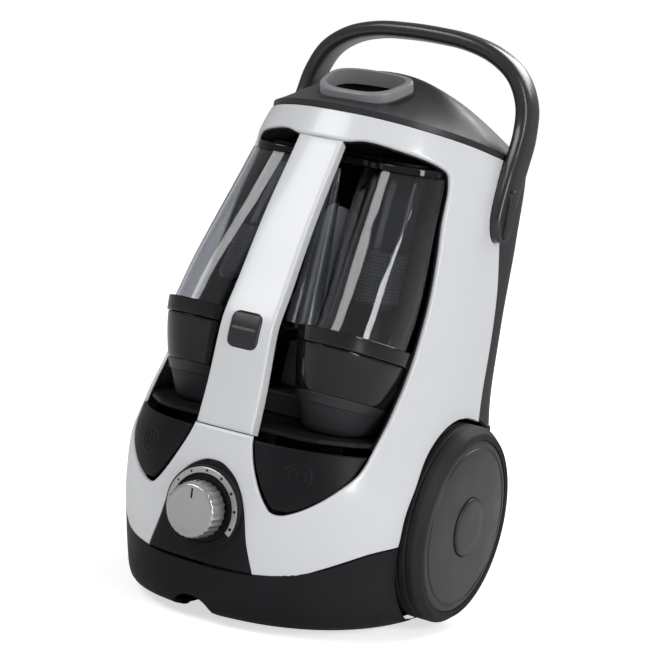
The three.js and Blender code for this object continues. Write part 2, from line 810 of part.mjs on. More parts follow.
function bin() {
  for (const [name, side] of [
    ["left", -1],
    ["right", 1],
  ]) {
    const cup = oval(BAND_LOW + 2, CUP_TOP, 0, side).subtract(oval(BAND_LOW, CUP_TOP + 3, -CUP_WALL, side));
    add(`dust_cup_${name}`, cup, "smoke");
    add(`cyclone_${name}`, cyclone(side), "black");
  }
  const both = (make) => make(1).add(make(-1));
  const middle = -100 * DEEP;
  const bands = both((side) => oval(BAND_LOW, BAND_HIGH, 1.2, side, TUB));
  const beam = box(-36 * WIDE, 36 * WIDE, middle - 8, middle + 12, BAND_LOW + 1, BAND_HIGH - 2);
  const arm = box(-9, 9, barBack(220 * TALL) + GAP, middle, BAND_LOW + 1, BAND_HIGH - 2);
  const bores = both((side) => oval(BAND_LOW - 3, BAND_HIGH + 3, 2 * GAP, side));
  const sills = both((side) => oval(BAND_LOW, BAND_LOW + 2 - GAP, 1.2, side));
  const throat = both((side) => oval(BAND_LOW - 3, BAND_LOW + 3, -CUP_WALL - 1, side));
  const frame = bands.add(beam).add(arm).subtract(bores).add(sills).subtract(throat);
  add("bin_frame", frame, "black");

  const tubs = both((side) => oval(CUP[0][0], BAND_LOW - GAP, 0, side, TUB));
  const hollow = both((side) => oval(CUP[0][0] + 3, BAND_LOW + 3, -CUP_WALL - 0.6, side, TUB));
  const bridge = box(-36 * WIDE, 36 * WIDE, middle - 14, -42 * DEEP, CUP[0][0], CUP[0][0] + 18);
  add("bin_base", tubs.add(bridge).subtract(hollow), "black");

  const lidTop = CUP_TOP + 6;
  const caps = both((side) => oval(CUP_TOP - 0.1, CUP_TOP, 0, side).translate([0, 0, GAP + 0.1]));
  const lid = both((side) => lidPlate(side, CUP_TOP + GAP, lidTop));
  const deck = box(-30 * WIDE, 30 * WIDE, -84 * DEEP, -18 * DEEP, CUP_TOP + GAP, lidTop);
  const port = inletPort();
  add("bin_lid", merge([lid, deck, caps]).subtract(port), "charcoal");
  const seal = both((side) => lidSeal(side));
  const tie = box(-49 * WIDE, 49 * WIDE, -36 * DEEP, -32 * DEEP, lidTop + GAP, lidTop + 2);
  add("lid_seal", seal.add(tie).subtract(port), "rubber");
  add("cone", coneSolid(), "smoke");
  add("cone_plate", conePlate(), "charcoal");
}

function lidPlate(side, z0, z1) {
  const ring = ovalRing(CUP_TOP, -3, side);
  return loft([ring.map(([x, y]) => [x, y, z0]), ring.map(([x, y]) => [x, y, z1])]);
}

function lidSeal(side) {
  const z0 = CUP_TOP + 6 + GAP;
  const outer = ovalRing(CUP_TOP, -16, side);
  const inner = ovalRing(CUP_TOP, -20, side);
  const slab = (ring, low, high) => loft([ring.map(([x, y]) => [x, y, low]), ring.map(([x, y]) => [x, y, high])]);
  return slab(outer, z0, z0 + 1.7).subtract(slab(inner, z0 - 1, z0 + 4));
}

// The dirty-air port in the lid's middle.
function inletPort() {
  return rod(11, CUP_TOP - 5, CUP_TOP + 20, "z", [0, -53 * DEEP, 0], 24);
}

function cyclone(side) {
  const ring = (z, radius) => {
    const [x, y] = [track(CUP, 1, z), track(CUP, 2, z)];
    return Array.from({ length: 16 }, (_, i) => {
      const t = (i / 16) * Math.PI * 2;
      return [side * x + radius * Math.cos(t), y + radius * Math.sin(t), z];
    });
  };
  const [top, foot] = [CUP_TOP, 250 * TALL];
  return loft([
    ring(foot, CYCLONE_RADIUS - 5),
    ring(foot + 4, CYCLONE_RADIUS - 4),
    ring(foot + 45, CYCLONE_RADIUS - 2.5),
    ring(foot + 46, CYCLONE_RADIUS),
    ring(top, CYCLONE_RADIUS + 2),
  ]);
}

// The clear cone leans back as it rises.
function coneSolid() {
  const low = BAND_HIGH - 2 + GAP;
  const top = 350 * TALL;
  const lean = 19 * DEEP;
  const part = (z0, z1, r0, r1) =>
    loft(
      [
        [z0, r0],
        [z1, r1],
      ].map(([z, r]) =>
        Array.from({ length: 28 }, (_, i) => {
          const t = (i / 28) * Math.PI * 2;
          return [r * Math.cos(t), CONE_Y + (lean * (z - low)) / (top - low) + r * Math.sin(t), z];
        }),
      ),
    );
  return part(low, top, 14.5, 5).subtract(part(low - 1, top + 1, 13, 3.4));
}

const CONE_Y = -96 * DEEP;
const PLATE_LEAN = 0.1; // the plate behind the cone leans back, in radians

function conePlate() {
  const low = CUP[0][0] + 18 + GAP;
  const shape = new THREE.Shape();
  const [foot, head] = [20, 16];
  const shoulder = 304 * TALL - low;
  shape.moveTo(-foot, 0);
  shape.lineTo(foot, 0);
  shape.lineTo(head, shoulder);
  shape.absarc(0, shoulder, head, 0, Math.PI, false);
  shape.lineTo(-foot, 0);
  const geometry = new THREE.ExtrudeGeometry(shape, { depth: 3, bevelEnabled: false, curveSegments: 12 });
  geometry.rotateX(Math.PI / 2 - PLATE_LEAN);
  geometry.translate(0, -77 * DEEP, low + 0.3);
  return toSolid(geometry);
}

// ---- white bar of the bin with its release button ----
const BAR_LOW = 147.2 + SEAM;
const BAR_HIGH = 374 - SEAM;
const BUTTON_Z = 222.5 * TALL;

function barHalf(z) {
  const t = (z - BAR_LOW) / (BAR_HIGH - BAR_LOW);
  return (24.9 - 5.4 * t) * WIDE;
}

function barBack(z) {
  return skin(Math.PI / 2, z, BAR_DEPTH)[1];
}

function strip(halfAt, z0, z1, inset0, inset1, levels, cells) {
  const sheet = (inset) =>
    Array.from({ length: levels + 1 }, (_, k) => {
      const z = z0 + ((z1 - z0) * k) / levels;
      return Array.from({ length: cells + 1 }, (_, i) => {
        const x = halfAt(z) * (1 - (2 * i) / cells);
        return skin(turnAtX(x, z), z, inset);
      });
    });
  return between(sheet(inset0), sheet(inset1), false);
}

function centreBar() {
  const bar = strip((z) => barHalf(z / TALL), BAR_LOW * TALL, BAR_HIGH * TALL, 0, BAR_DEPTH, 20, 4);
  const below = box(-60, 60, -240, 0, 0, BAR_LOW * TALL);
  const half = BUTTON_WIDTH / 2 + 0.6;
  const low = BUTTON_Z - BUTTON_HEIGHT / 2 - 0.6;
  const high = BUTTON_Z + BUTTON_HEIGHT / 2 + 0.6;
  add("centre_bar", bar.subtract(below).subtract(box(-half, half, -240, 0, low, high)), "white");

  const front = skin(Math.PI / 2, BUTTON_Z, 0)[1];
  const cap = strip(() => BUTTON_WIDTH / 2, low + 0.6, high - 0.6, -1.5, 5, 3, 4);
  const stem = rod(3, front + 4, barBack(BUTTON_Z) - PRESS - 2 * GAP, "y", [0, 0, BUTTON_Z], 16);
  add("release_button", cap.add(stem), "charcoal");
  const plateFrom = barBack(BUTTON_Z + 20) + 4;
  const plate = box(-half - 3, half + 3, plateFrom, plateFrom + 2.5, low - 6, high + 6);
  const reachIn = strip(() => half + 3, low - 6, high + 6, BAR_DEPTH + 1.4, BAR_DEPTH + 6, 4, 4);
  const hole = rod(3.6, -240, 0, "y", [0, 0, BUTTON_Z], 16);
  const armSpace = box(-9 - GAP, 9 + GAP, plateFrom - 20, 0, BAND_LOW + 1 - GAP, BAND_HIGH - 2 + GAP);
  const latch = plate.add(reachIn).subtract(hole).subtract(armSpace);
  add("release_latch", latch, "black");
  const springEnd = barBack(BUTTON_Z) + GAP;
  const spring = tube(5, 3.6, front + 5 + PRESS + 1, springEnd - 0.6, "y", [0, 0, BUTTON_Z], 16);
  add("release_spring", spring, "steel");
}

// ---- foot buttons, knob and electrics ----
function padSolid(side) {
  const cells = 5;
  const sheet = (inset) =>
    PAD_EDGE.map(([z, x0, x1]) =>
      Array.from({ length: cells + 1 }, (_, i) => {
        const x = (x0 + ((x1 - x0) * i) / cells) * WIDE;
        return skin(turnAtX(side * x, z * TALL), z * TALL, inset);
      }),
    );
  return between(sheet(0.8), sheet(0.8 + WALL), false);
}

// A foot button's middle and the direction in which it is pressed.
function padAim(side) {
  const turn = turnAtX(side * 66 * WIDE, 123 * TALL);
  const face = new THREE.Vector3(...skin(turn, 123 * TALL, 0.8));
  const inside = new THREE.Vector3(...skin(turn, 123 * TALL, 20));
  inside.z = face.z;
  return { face, way: inside.sub(face).normalize() };
}

// A round bar or tube on a foot button's own axis.
function padTurned(side, outer, inner, from, to) {
  const { face, way } = padAim(side);
  const geometry = new THREE.LatheGeometry(
    [
      [inner, from],
      [outer, from],
      [outer, to],
      [inner, to],
      [inner, from],
    ].map(([r, y]) => new THREE.Vector2(r, y)),
    16,
  );
  const turn = new THREE.Quaternion().setFromUnitVectors(new THREE.Vector3(0, 1, 0), way);
  geometry.applyQuaternion(turn);
  geometry.translate(face.x, face.y, face.z);
  const solid = toSolid(geometry);
  if (solid.volume() > 0) return solid;
  geometry.index.array.reverse();
  return toSolid(geometry);
}

const SWITCH_AT = 24; // depth of a foot button's switch behind its face

function footButtons() {
  for (const [name, side] of [
    ["power_button", 1],
    ["rewind_button", -1],
  ]) {
    add(name, padSolid(side).add(padTurned(side, 4, 0, 2, SWITCH_AT - PRESS - GAP)), "black");
    add(`${name}_spring`, padTurned(side, 7, 5, 2 + WALL + PRESS, SWITCH_AT - GAP), "steel");
  }
  const post = (side) => padTurned(side, 9, 0, SWITCH_AT, SWITCH_AT + 14);
  add("power_switch", post(1), "black");
  add("rewind_lever", post(-1), "charcoal");
}

function knob() {
  const face = KNOB_SEAT - 1.6;
  const grip = [];
  const ribs = 26;
  const count = ribs * 2;
  for (const [place, shrink] of [
    [0, 0],
    [KNOB_HEIGHT - 2, 0.8],
    [KNOB_HEIGHT, 2.6],
  ]) {
    grip.push(
      Array.from({ length: count }, (_, i) => {
        const a = (i / count) * Math.PI * 2;
        const radius = KNOB_RADIUS - shrink - (i % 2 ? 0.7 : 0);
        return [radius * Math.cos(a), face - place, KNOB_Z + radius * Math.sin(a)];
      }),
    );
  }
  const pointer = box(-0.8, 0.8, face - KNOB_HEIGHT - 1, face - KNOB_HEIGHT + 0.7, KNOB_Z + 9, KNOB_Z + 17);
  const shaft = rod(SHAFT_RADIUS, face - 1, KNOB_SEAT + 9, "y", [0, 0, KNOB_Z], 20);
  add("power_knob", loft(grip).subtract(pointer).add(shaft), "silver");
  add("scale_ring", scaleRing(), "silver");
  const box0 = KNOB_SEAT + 9 + GAP;
  const pot = box(-9, 9, box0, box0 + 7, KNOB_Z - 9, KNOB_Z + 9);
  const sleeve = tube(8, SHAFT_RADIUS + RUN_GAP, KNOB_SEAT + 6.5, box0 + 1, "y", [0, 0, KNOB_Z], 20);
  add("potentiometer", pot.add(sleeve), "steel");
  const board0 = box0 + 7 + GAP;
  add("circuit_board", box(-30, 30, board0, board0 + 1.6, KNOB_Z - 32, KNOB_Z + 22), "board");
}

// ---- inside the body ----
function bay(handleSpace) {
  const inside = skinSolid(WALL + BACK_STEP + SEAM, 40, 372 * TALL);
  const wall = box(-200, 200, BAY_WALL_Y - 3, BAY_WALL_Y, SHELF, 360 * TALL);
  const shelf = box(-200, 200, -240, BAY_WALL_Y, SHELF, SHELF + 3);
  const space = wheelSpace(ARCH + 3, WELL_X - 3);
  const frontEdge = box(-200, 200, -240, -177 * DEEP, SHELF - 1, SHELF + 4);
  const posts = (side) => padTurned(side, 6, 0, SWITCH_AT + 14 + GAP, SWITCH_AT + 34);
  const hangers = posts(1).add(posts(-1));
  const ribs = box(-74 * WIDE, 74 * WIDE, -138 * DEEP, -134 * DEEP, 122 * TALL, SHELF + 1);
  const boardY = KNOB_SEAT + 18.9;
  const boardRib = box(-34, 34, boardY, boardY + 2.5, KNOB_Z - 10, SHELF - 10);
  const step = box(-34, 34, boardY, -168 * DEEP, SHELF - 14, SHELF - 10);
  const riser = box(-34, 34, -171 * DEEP, -168 * DEEP, SHELF - 12, SHELF + 1);
  const body = merge([wall, shelf, hangers, ribs, boardRib, step, riser]);
  add("bin_bay", body.intersect(inside).subtract(space).subtract(frontEdge).subtract(handleSpace), "black");
}

function motor() {
  const [y0, y1] = [-122 * DEEP, -26 * DEEP];
  const z = 4 + GAP + MOTOR_RADIUS + 12;
  const centre = [0, 0, z];
  const shell = tube(MOTOR_RADIUS + 3, MOTOR_RADIUS, y0, y1, "y", centre, 28);
  const wall = tube(MOTOR_RADIUS + 1, SHAFT_RADIUS + RUN_GAP, y1 - 3, y1, "y", centre, 28);
  const saddle = box(-34, 34, y0 + 20, y1 - 20, 4 + GAP, z).subtract(rod(MOTOR_RADIUS + 1, y0, y1, "y", centre, 28));
  add("motor_housing", merge([shell, wall, saddle]), "black");
  add("motor_seal", tube(MOTOR_RADIUS + 3, MOTOR_RADIUS - 6, y0 - 3, y0 - GAP, "y", centre, 28), "rubber");
  const filter = rod(MOTOR_RADIUS, y0 - 15, y0 - 3 - GAP, "y", centre, 32);
  add("motor_filter", filter, "foam");
  const stator = tube(MOTOR_RADIUS - GAP, 25, y1 - 55, y1 - 3 - GAP, "y", centre, 28);
  add("motor_stator", stator, "copper");
  const rotor = rod(24, y1 - 53, y1 - 8, "y", centre, 32);
  const shaft = rod(SHAFT_RADIUS, y0 + 10, y1 + 8, "y", centre, 20);
  add("motor_rotor", rotor.add(shaft), "steel");
  const wheel = turned(
    [
      [SHAFT_RADIUS + GAP, y0 + 14],
      [10, y0 + 14],
      [MOTOR_RADIUS - 6, y0 + 22],
      [MOTOR_RADIUS - 6, y0 + 30],
      [SHAFT_RADIUS + GAP, y0 + 30],
    ],
    "y",
    centre,
    28,
  );
  add("impeller", wheel, "steel");
}

function reel() {
  const z = 262 * TALL;
  const centre = [0, 0, z];
  const y0 = BAY_WALL_Y + GAP;
  const spindle = 8;
  const plate = box(-40, 40, y0, y0 + 3, z - 40, z + 40);
  const axle = rod(spindle, y0 + 1, y0 + REEL_WIDTH + 9, "y", centre, 24);
  add("reel_bracket", plate.add(axle), "steel");
  const [d0, d1] = [y0 + 4.5, y0 + 4.5 + REEL_WIDTH];
  const drum = turned(
    [
      [spindle + RUN_GAP, d0],
      [REEL_RADIUS, d0],
      [REEL_RADIUS, d0 + 2.5],
      [26, d0 + 2.5],
      [26, d1 - 2.5],
      [REEL_RADIUS, d1 - 2.5],
      [REEL_RADIUS, d1],
      [spindle + RUN_GAP, d1],
    ],
    "y",
    centre,
    28,
  );
  add("cord_reel", drum, "charcoal");
  const brakeX = REEL_RADIUS + 4;
  const brake = box(brakeX, brakeX + 8, y0, y0 + 22, z - 12, z + 24);
  add("reel_brake", brake, "rubber");
}

function exhaust() {
  const face = backFace(GRILLE_LOW);
  const far = backFace((GRILLE_LOW + GRILLE_HIGH) / 2) - WALL - 1;
  const filter = box(-GRILLE_HALF + 2, GRILLE_HALF - 2, BAY_WALL_Y + GAP, far, GRILLE_LOW + 2, GRILLE_HIGH - 2);
  add("exhaust_filter", filter, "paper");
  const [x, z0, z1] = [GRILLE_HALF - GAP, GRILLE_LOW + GAP, GRILLE_HIGH - GAP];
  let grille = box(-x, x, far + GAP, face + 1.5, z0, z1);
  const slots = 9;
  for (let i = 0; i < slots; i++) {
    const middle = -x + ((i + 0.5) / slots) * 2 * x;
    grille = grille.subtract(box(middle - 2.2, middle + 2.2, 0, 90, z0 + 4, z1 - 4));
  }
  add("exhaust_grille", grille, "charcoal");
  const outletY = backFace(OUTLET_Z);
  const collar = tube(OUTLET_RADIUS - GAP, 4, outletY - 9, outletY + 1.5, "y", [OUTLET_X, 0, OUTLET_Z], 24);
  add("cord_outlet", collar, "black");
}

function handleCaps(handleSpace) {
  const cap = (side) => {
    const shape = new THREE.Shape();
    shape.absarc(0, 14, 6, 0, Math.PI, false);
    shape.absarc(0, -14, 6, Math.PI, 2 * Math.PI, false);
    const geometry = new THREE.ExtrudeGeometry(shape, { depth: 6, bevelEnabled: false, curveSegments: 8 });
    geometry.rotateX(Math.PI / 2);
    geometry.rotateZ(Math.PI / 2);
    geometry.translate(107 * WIDE + HANDLE_THICK / 2 - 4.5, 10 * DEEP, 333 * TALL);
    const piece = toSolid(geometry).subtract(handleSpace);
    return side > 0 ? piece : flipX(piece);
  };
  add("handle_cap_right", cap(1), "charcoal");
  add("handle_cap_left", cap(-1), "charcoal");
}

const handleSpace = handleSolid(SEAM);
add("front_shell", frontShell().subtract(handleSpace), "white");
add("back_shell", backShell().subtract(handleSpace).subtract(wheelSpace(ARCH + 3, WELL_X - 4)), "charcoal");
add("base_shell", baseShell(), "black");
add("top_cover", topCover(handleSpace), "charcoal");
hoseSocket();
add("handle", handleSolid(0), "charcoal");
handleCaps(handleSolid(GAP));
add("control_panel", controlPanel(), "black");
knob();
footButtons();
wheels();
caster();
bin();
centreBar();
bay(handleSpace);
motor();
reel();
exhaust();

// The origin is under the middle of the whole, on the surface it stands on.
const whole = new THREE.Box3().setFromObject(canister);
canister.position.y = -(whole.min.y + whole.max.y) / 2;

export default canister;
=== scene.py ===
"""Finished surfaces, materials, light and camera for an upright canister vacuum cleaner.

The shapes are worked out in millimetres in the cleaner's own frame: x to the right, y to the back, z up from
the floor, with y = 0 a little in front of the wheels' axle. place() turns them into the frame's metres.
"""

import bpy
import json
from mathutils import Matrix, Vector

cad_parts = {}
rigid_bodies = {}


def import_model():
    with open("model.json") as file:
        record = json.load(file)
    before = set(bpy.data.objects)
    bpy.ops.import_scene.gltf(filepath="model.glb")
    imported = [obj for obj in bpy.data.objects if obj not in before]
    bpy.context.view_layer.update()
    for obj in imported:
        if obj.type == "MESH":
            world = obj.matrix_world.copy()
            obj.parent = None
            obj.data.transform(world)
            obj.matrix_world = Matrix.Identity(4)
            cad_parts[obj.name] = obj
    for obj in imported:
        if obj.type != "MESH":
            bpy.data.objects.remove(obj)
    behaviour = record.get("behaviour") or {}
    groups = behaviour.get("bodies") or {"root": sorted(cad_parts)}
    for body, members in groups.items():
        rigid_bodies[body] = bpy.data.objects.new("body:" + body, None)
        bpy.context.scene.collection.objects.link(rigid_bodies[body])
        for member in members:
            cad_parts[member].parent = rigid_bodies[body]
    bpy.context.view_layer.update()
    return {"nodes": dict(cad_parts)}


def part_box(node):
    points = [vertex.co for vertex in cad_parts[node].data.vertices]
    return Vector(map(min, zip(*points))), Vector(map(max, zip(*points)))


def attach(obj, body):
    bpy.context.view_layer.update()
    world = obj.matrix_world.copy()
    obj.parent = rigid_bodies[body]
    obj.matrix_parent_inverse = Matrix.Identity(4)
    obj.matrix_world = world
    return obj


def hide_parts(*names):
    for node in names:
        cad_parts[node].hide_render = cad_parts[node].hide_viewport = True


bl_info = {
    "name": "Canister Vacuum Cleaner",
    "version": (1, 0, 0),
    "blender": (4, 5, 0),
    "location": "View3D > Sidebar > Canister",
    "description": "Builds the finished surfaces of a twin-cup canister vacuum cleaner round its packed frame",
    "category": "Add Mesh",
}

import json
import math

import bmesh
import bpy
import numpy as np
from mathutils import Matrix

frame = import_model()

MM = 0.001
LOW_WHEEL, HIGH_WHEEL = (np.array(corner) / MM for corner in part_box("tyre_right"))
AXLE_Z = (LOW_WHEEL[2] + HIGH_WHEEL[2]) / 2
WHEEL_RADIUS = (HIGH_WHEEL[2] - LOW_WHEEL[2]) / 2
WHEEL_OUT = HIGH_WHEEL[0]
WHEEL_IN = LOW_WHEEL[0]
AXLE_Y = -24.7
SHIFT_Y = (LOW_WHEEL[1] + HIGH_WHEEL[1]) / 2 - AXLE_Y
ARCH = WHEEL_RADIUS + 4.5
WALL = 3.0
SEAM = 0.5

# Sections up the body: height, half width, y of the widest line, y of the front, corner power.
SECTIONS = np.array([
    (0, 104, -25, -168, 2.3), (10, 116, -25, -199, 2.3), (22, 120, -25, -202.5, 2.32), (46, 125, -25, -203, 2.4),
    (86, 130, -25, -201.5, 2.6), (117, 130, -25, -198, 2.75), (148, 124, -25, -191.5, 2.75),
    (181, 118, -20, -186, 2.7), (225, 113, -14, -182, 2.6), (260, 109, -9, -168, 2.5), (310, 105, -3, -147, 2.35),
    (369, 100, 5, -117, 2.1), (396, 92, 8, -104, 2.1),
], float)
BODY_HEIGHT = SECTIONS[-1, 0]
BACK = np.array([(0, 34), (30, 40), (160, 42), (310, 72), (375, 80), (440, 82)], float)
BACK_POWER = 9.0
PARTING = np.array([
    (150, 3), (166, 3), (191, 9), (223, 17), (263, 24), (308, 19), (344, 12), (360, 15), (376, 16.5),
], float)
CROWN = np.array([(-104, 11), (-90, 15), (-60, 28), (-25, 42), (-5, 47), (20, 46), (45, 42), (82, 36)], float)
BACK_STEP = 1.2  # how far the rear casing lies under the front shell's skin
COVER_MIDDLE = -10.0
COVER_LIP = 5.0
# Each dust cup's oval: height, x and y of the middle, half width, half depth.
CUP = np.array([
    (153.6, 64, -104, 31, 40), (180, 64, -109, 34, 47), (214, 64, -113, 35.5, 50), (236, 63.4, -105, 35.6, 49.5),
    (300, 56.4, -79, 36.4, 45), (355, 50, -54, 36.5, 39.5),
], float)
# The wider oval of the lower tubs and their band.
TUB = np.array([(153.6, 58, -104, 30, 48), (180, 59, -107, 38, 60), (213, 59.5, -108, 40.8, 64),
                (236, 59.5, -108, 40.8, 64)], float)
HANDLE_LINE = np.array([
    (106, 9, 316), (106.5, 11, 336), (106.3, 17, 356), (105, 27, 376), (103.3, 36, 398), (99.5, 39, 422),
    (88, 38, 443), (68, 36, 457), (42, 34, 464.5), (15, 33, 466.7),
], float)
INLET_CENTRE = np.array((0.0, -56.0, 415.0))
INLET_TILT = 0.37
INLET_HALF = np.array((31.0, 23.0))
BAR_LOW, BAR_HIGH = 147.7, 373.5
BUTTON_Z = 222.5
KNOB_Z = 86.6
KNOB_SEAT = -203.4
BAND_LOW, BAND_HIGH, CUP_TOP = 213.0, 228.0, 355.0
GAP = 0.3
CUP_WALL = 2.2
CASTER_Z = 338.0
CASTER_REACH = 17.0  # from the caster's plate back to its roller's pin
GRILLE_Z, GRILLE_HALF = 188.0, np.array((35.7, 15.7))
CORD_HOLE = (62.0, 0.0, 190.0)
CORE_PITCH = 0.0026  # metres between the holes of a core's mesh
CONE_Y, CONE_LEAN, CONE_TOP = -96.0, 19.0, 350.0
PLATE_Y, PLATE_LEAN, PLATE_SHOULDER = -77.0, 0.1, 304.0
BUTTON_HALF = np.array((13.0, 13.5))
PRESS_WAY = (0.4136, 0.9104)  # x and y of the way in which the right foot button is pressed, with x reversed


# ---- curves and grids ----
def track(table, column, z):
    """Monotone cubic through one column of a table by its first: each knot's slope is the harmonic mean of its
    neighbours' slopes, or nought where they turn."""
    x, v = table[:, 0], table[:, column]
    h = np.diff(x)
    d = np.diff(v) / h
    m = np.empty_like(v)
    m[0], m[-1] = d[0], d[-1]
    product = d[:-1] * d[1:]
    total = np.where(product > 0, d[:-1] + d[1:], 1.0)
    m[1:-1] = np.where(product > 0, 2 * product / total, 0.0)
    z = np.clip(z, x[0], x[-1])
    k = np.clip(np.searchsorted(x, z, side="right") - 1, 0, len(x) - 2)
    t = (z - x[k]) / h[k]
    rise = m[k] * h[k] * t * (1 - t) ** 2 + m[k + 1] * h[k] * t * t * (t - 1)
    return v[k] * (1 + 2 * t) * (1 - t) ** 2 + v[k + 1] * t * t * (3 - 2 * t) + rise


def bare_skin(turn, z):
    """A point of the body's outer skin: a superellipse of its own width, depth and power at each height, whose
    back half is a nearly square one. turn is a quarter turn at the front and nought at the right side."""
    turn, z = np.broadcast_arrays(np.asarray(turn, float), np.asarray(z, float))
    half, wide, front, power = (track(SECTIONS, k, z) for k in (1, 2, 3, 4))
    c, s = np.cos(turn), np.sin(turn)
    ahead = s >= 0
    p = np.where(ahead, power, BACK_POWER)
    reach = (np.abs(c) ** p + np.abs(s) ** p) ** (-1 / p)
    deep = np.where(ahead, wide - front, track(BACK, 1, z) - wide)
    return np.stack([half * c * reach, wide - deep * s * reach, z], -1)


def skin(turn, z, inset=0.0):
    """The skin moved inwards by inset along its normal, the cross product of its two tangents."""
    step = 0.02
    side = bare_skin(turn + step, z) - bare_skin(turn - step, z)
    up = bare_skin(turn, np.minimum(z + 2, BODY_HEIGHT)) - bare_skin(turn, np.maximum(z - 2, 0))
    normal = np.cross(side, up)
    normal /= np.linalg.norm(normal, axis=-1, keepdims=True)
    return bare_skin(turn, z) + normal * np.asarray(inset, float)[..., None]


def turn_at_x(x, z):
    """The turn at which the front half of the skin passes a given x."""
    x, z = np.broadcast_arrays(np.asarray(x, float), np.asarray(z, float))
    half, power = track(SECTIONS, 1, z), track(SECTIONS, 4, z)
    across = np.minimum(np.abs(x) / half, 1)
    along = (1 - across ** power) ** (1 / power)
    return np.arctan2(along, np.where(x < 0, -1, 1) * across)


def turn_at_y(y, z):
    """The turn at which the right side of the skin passes a given y."""
    y, z = np.broadcast_arrays(np.asarray(y, float), np.asarray(z, float))
    wide, front, power = (track(SECTIONS, k, z) for k in (2, 3, 4))
    ahead = y < wide
    deep = np.where(ahead, wide - front, track(BACK, 1, z) - wide)
    p = np.where(ahead, power, BACK_POWER)
    along = np.minimum(np.abs(y - wide) / deep, 1)
    across = (1 - along ** p) ** (1 / p)
    return np.arctan2(np.where(ahead, along, -along), across)


def rim_height(y):
    """The white rim is a plane that falls towards the back."""
    return BODY_HEIGHT - 18.2 - 0.17 * y


def curve_through(points, steps):
    """Centripetal Catmull-Rom curve through the points, with the same number of steps on each span."""
    p = np.asarray(points, float)
    p = np.vstack([2 * p[0] - p[1], p, 2 * p[-1] - p[-2]])
    knot = np.concatenate([[0], np.cumsum(np.maximum(np.linalg.norm(np.diff(p, axis=0), axis=1), 1e-6) ** 0.5)])
    out = []
    s = np.arange(steps)[:, None] / steps
    for i in range(1, len(p) - 2):
        t0, t1, t2, t3 = knot[i - 1:i + 3]
        t = t1 + (t2 - t1) * s
        a1 = (t1 - t) / (t1 - t0) * p[i - 1] + (t - t0) / (t1 - t0) * p[i]
        a2 = (t2 - t) / (t2 - t1) * p[i] + (t - t1) / (t2 - t1) * p[i + 1]
        a3 = (t3 - t) / (t3 - t2) * p[i + 1] + (t - t2) / (t3 - t2) * p[i + 2]
        b1 = (t2 - t) / (t2 - t0) * a1 + (t - t0) / (t2 - t0) * a2
        b2 = (t3 - t) / (t3 - t1) * a2 + (t - t1) / (t3 - t1) * a3
        out.append((t2 - t) / (t2 - t1) * b1 + (t - t1) / (t2 - t1) * b2)
    out.append(p[-2:-1])
    return np.vstack(out)


def runs_through(points, corners, steps, rounds=0):
    """A curve through the points that stays sharp at the corners, eased between them by repeated averaging."""
    cuts = [0, *corners, len(points) - 1]
    parts = []
    for a, b in zip(cuts[:-1], cuts[1:]):
        part = curve_through(points[a:b + 1], steps)
        for _ in range(rounds):
            part[1:-1] = part[1:-1] / 2 + (part[:-2] + part[2:]) / 4
        parts.append(part if b == cuts[-1] else part[:-1])
    return np.vstack(parts)


def edge_steps(length, first, last, inner):
    """Fractions along a strip of each given length: close steps over a rounded edge of its own radius at each
    end, and even steps between."""
    rise = 1 - np.cos(np.linspace(0, math.pi / 2, 6))
    length = np.asarray(length, float)[..., None]
    start, end = first * rise / length, 1 - last * rise[::-1] / length
    between = np.linspace(0, 1, inner + 2)[1:-1]
    return np.concatenate([start, start[..., -1:] + (end[..., :1] - start[..., -1:]) * between, end], -1)


def lip(distance, radius):
    """How far a rounded edge falls below its face at a distance from the edge: a quarter circle."""
    d = np.clip(radius - distance, 0, radius)
    return radius - np.sqrt(np.maximum(radius ** 2 - d ** 2, 0))


def place(points):
    """Millimetres of the cleaner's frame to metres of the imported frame."""
    return (np.asarray(points, float) + (0, SHIFT_Y, 0)) * MM


# ---- closed blocks: each is (vertices, quads), in millimetres ----
def quads(rows, columns, wrap_rows=False, wrap_columns=False):
    """The four corners of every cell of a grid, which may close on itself either way."""
    i = np.arange(rows if wrap_rows else rows - 1)
    j = np.arange(columns if wrap_columns else columns - 1)
    i, j = (a.ravel() for a in np.meshgrid(i, j, indexing="ij"))
    k, l = (i + 1) % rows, (j + 1) % columns
    return np.stack([i * columns + j, k * columns + j, k * columns + l, i * columns + l], -1)


def loft(rings):
    """A stack of rings, each closed on itself, whose two ends are drawn in to their middles."""
    rings = np.asarray(rings, float)
    ends = [np.repeat(ring.mean(0)[None, None], rings.shape[1], 1) for ring in (rings[0], rings[-1])]
    rings = np.concatenate([ends[0], rings, ends[1]])
    return rings.reshape(-1, 3), quads(*rings.shape[:2], False, True)


def slab(outer, inner, ring=False):
    """A wall between an outer and an inner grid of points, closed round its edges; ring joins its last row to
    its first."""
    rows, columns = outer.shape[:2]
    grid = np.arange(rows * columns).reshape(rows, columns)
    face = quads(rows, columns, ring)
    lines = [grid[:, 0], grid[:, -1]]
    if ring:
        lines = [np.append(line, line[0]) for line in lines]
    else:
        lines += [grid[0], grid[-1]]
    sides = [np.stack([l[:-1], l[1:], l[1:] + grid.size, l[:-1] + grid.size], -1) for l in lines]
    points = np.concatenate([outer.reshape(-1, 3), inner.reshape(-1, 3)])
    return points, np.concatenate([face, face + grid.size, *sides])


def turned(profile, axis, centre, sides=128):
    """A closed profile of (radius, place) turned about the x, y or z axis through a centre."""
    profile = np.asarray(profile, float)
    a = np.linspace(0, 2 * math.pi, sides, endpoint=False)
    r, t = profile[:, :1], np.broadcast_to(profile[:, 1:], (len(profile), sides))
    u, v = r * np.cos(a), r * np.sin(a)
    points = np.stack({"x": (t, u, v), "y": (u, t, v), "z": (u, v, t)}[axis], -1) + centre
    return points.reshape(-1, 3), quads(len(profile), sides, True, True)


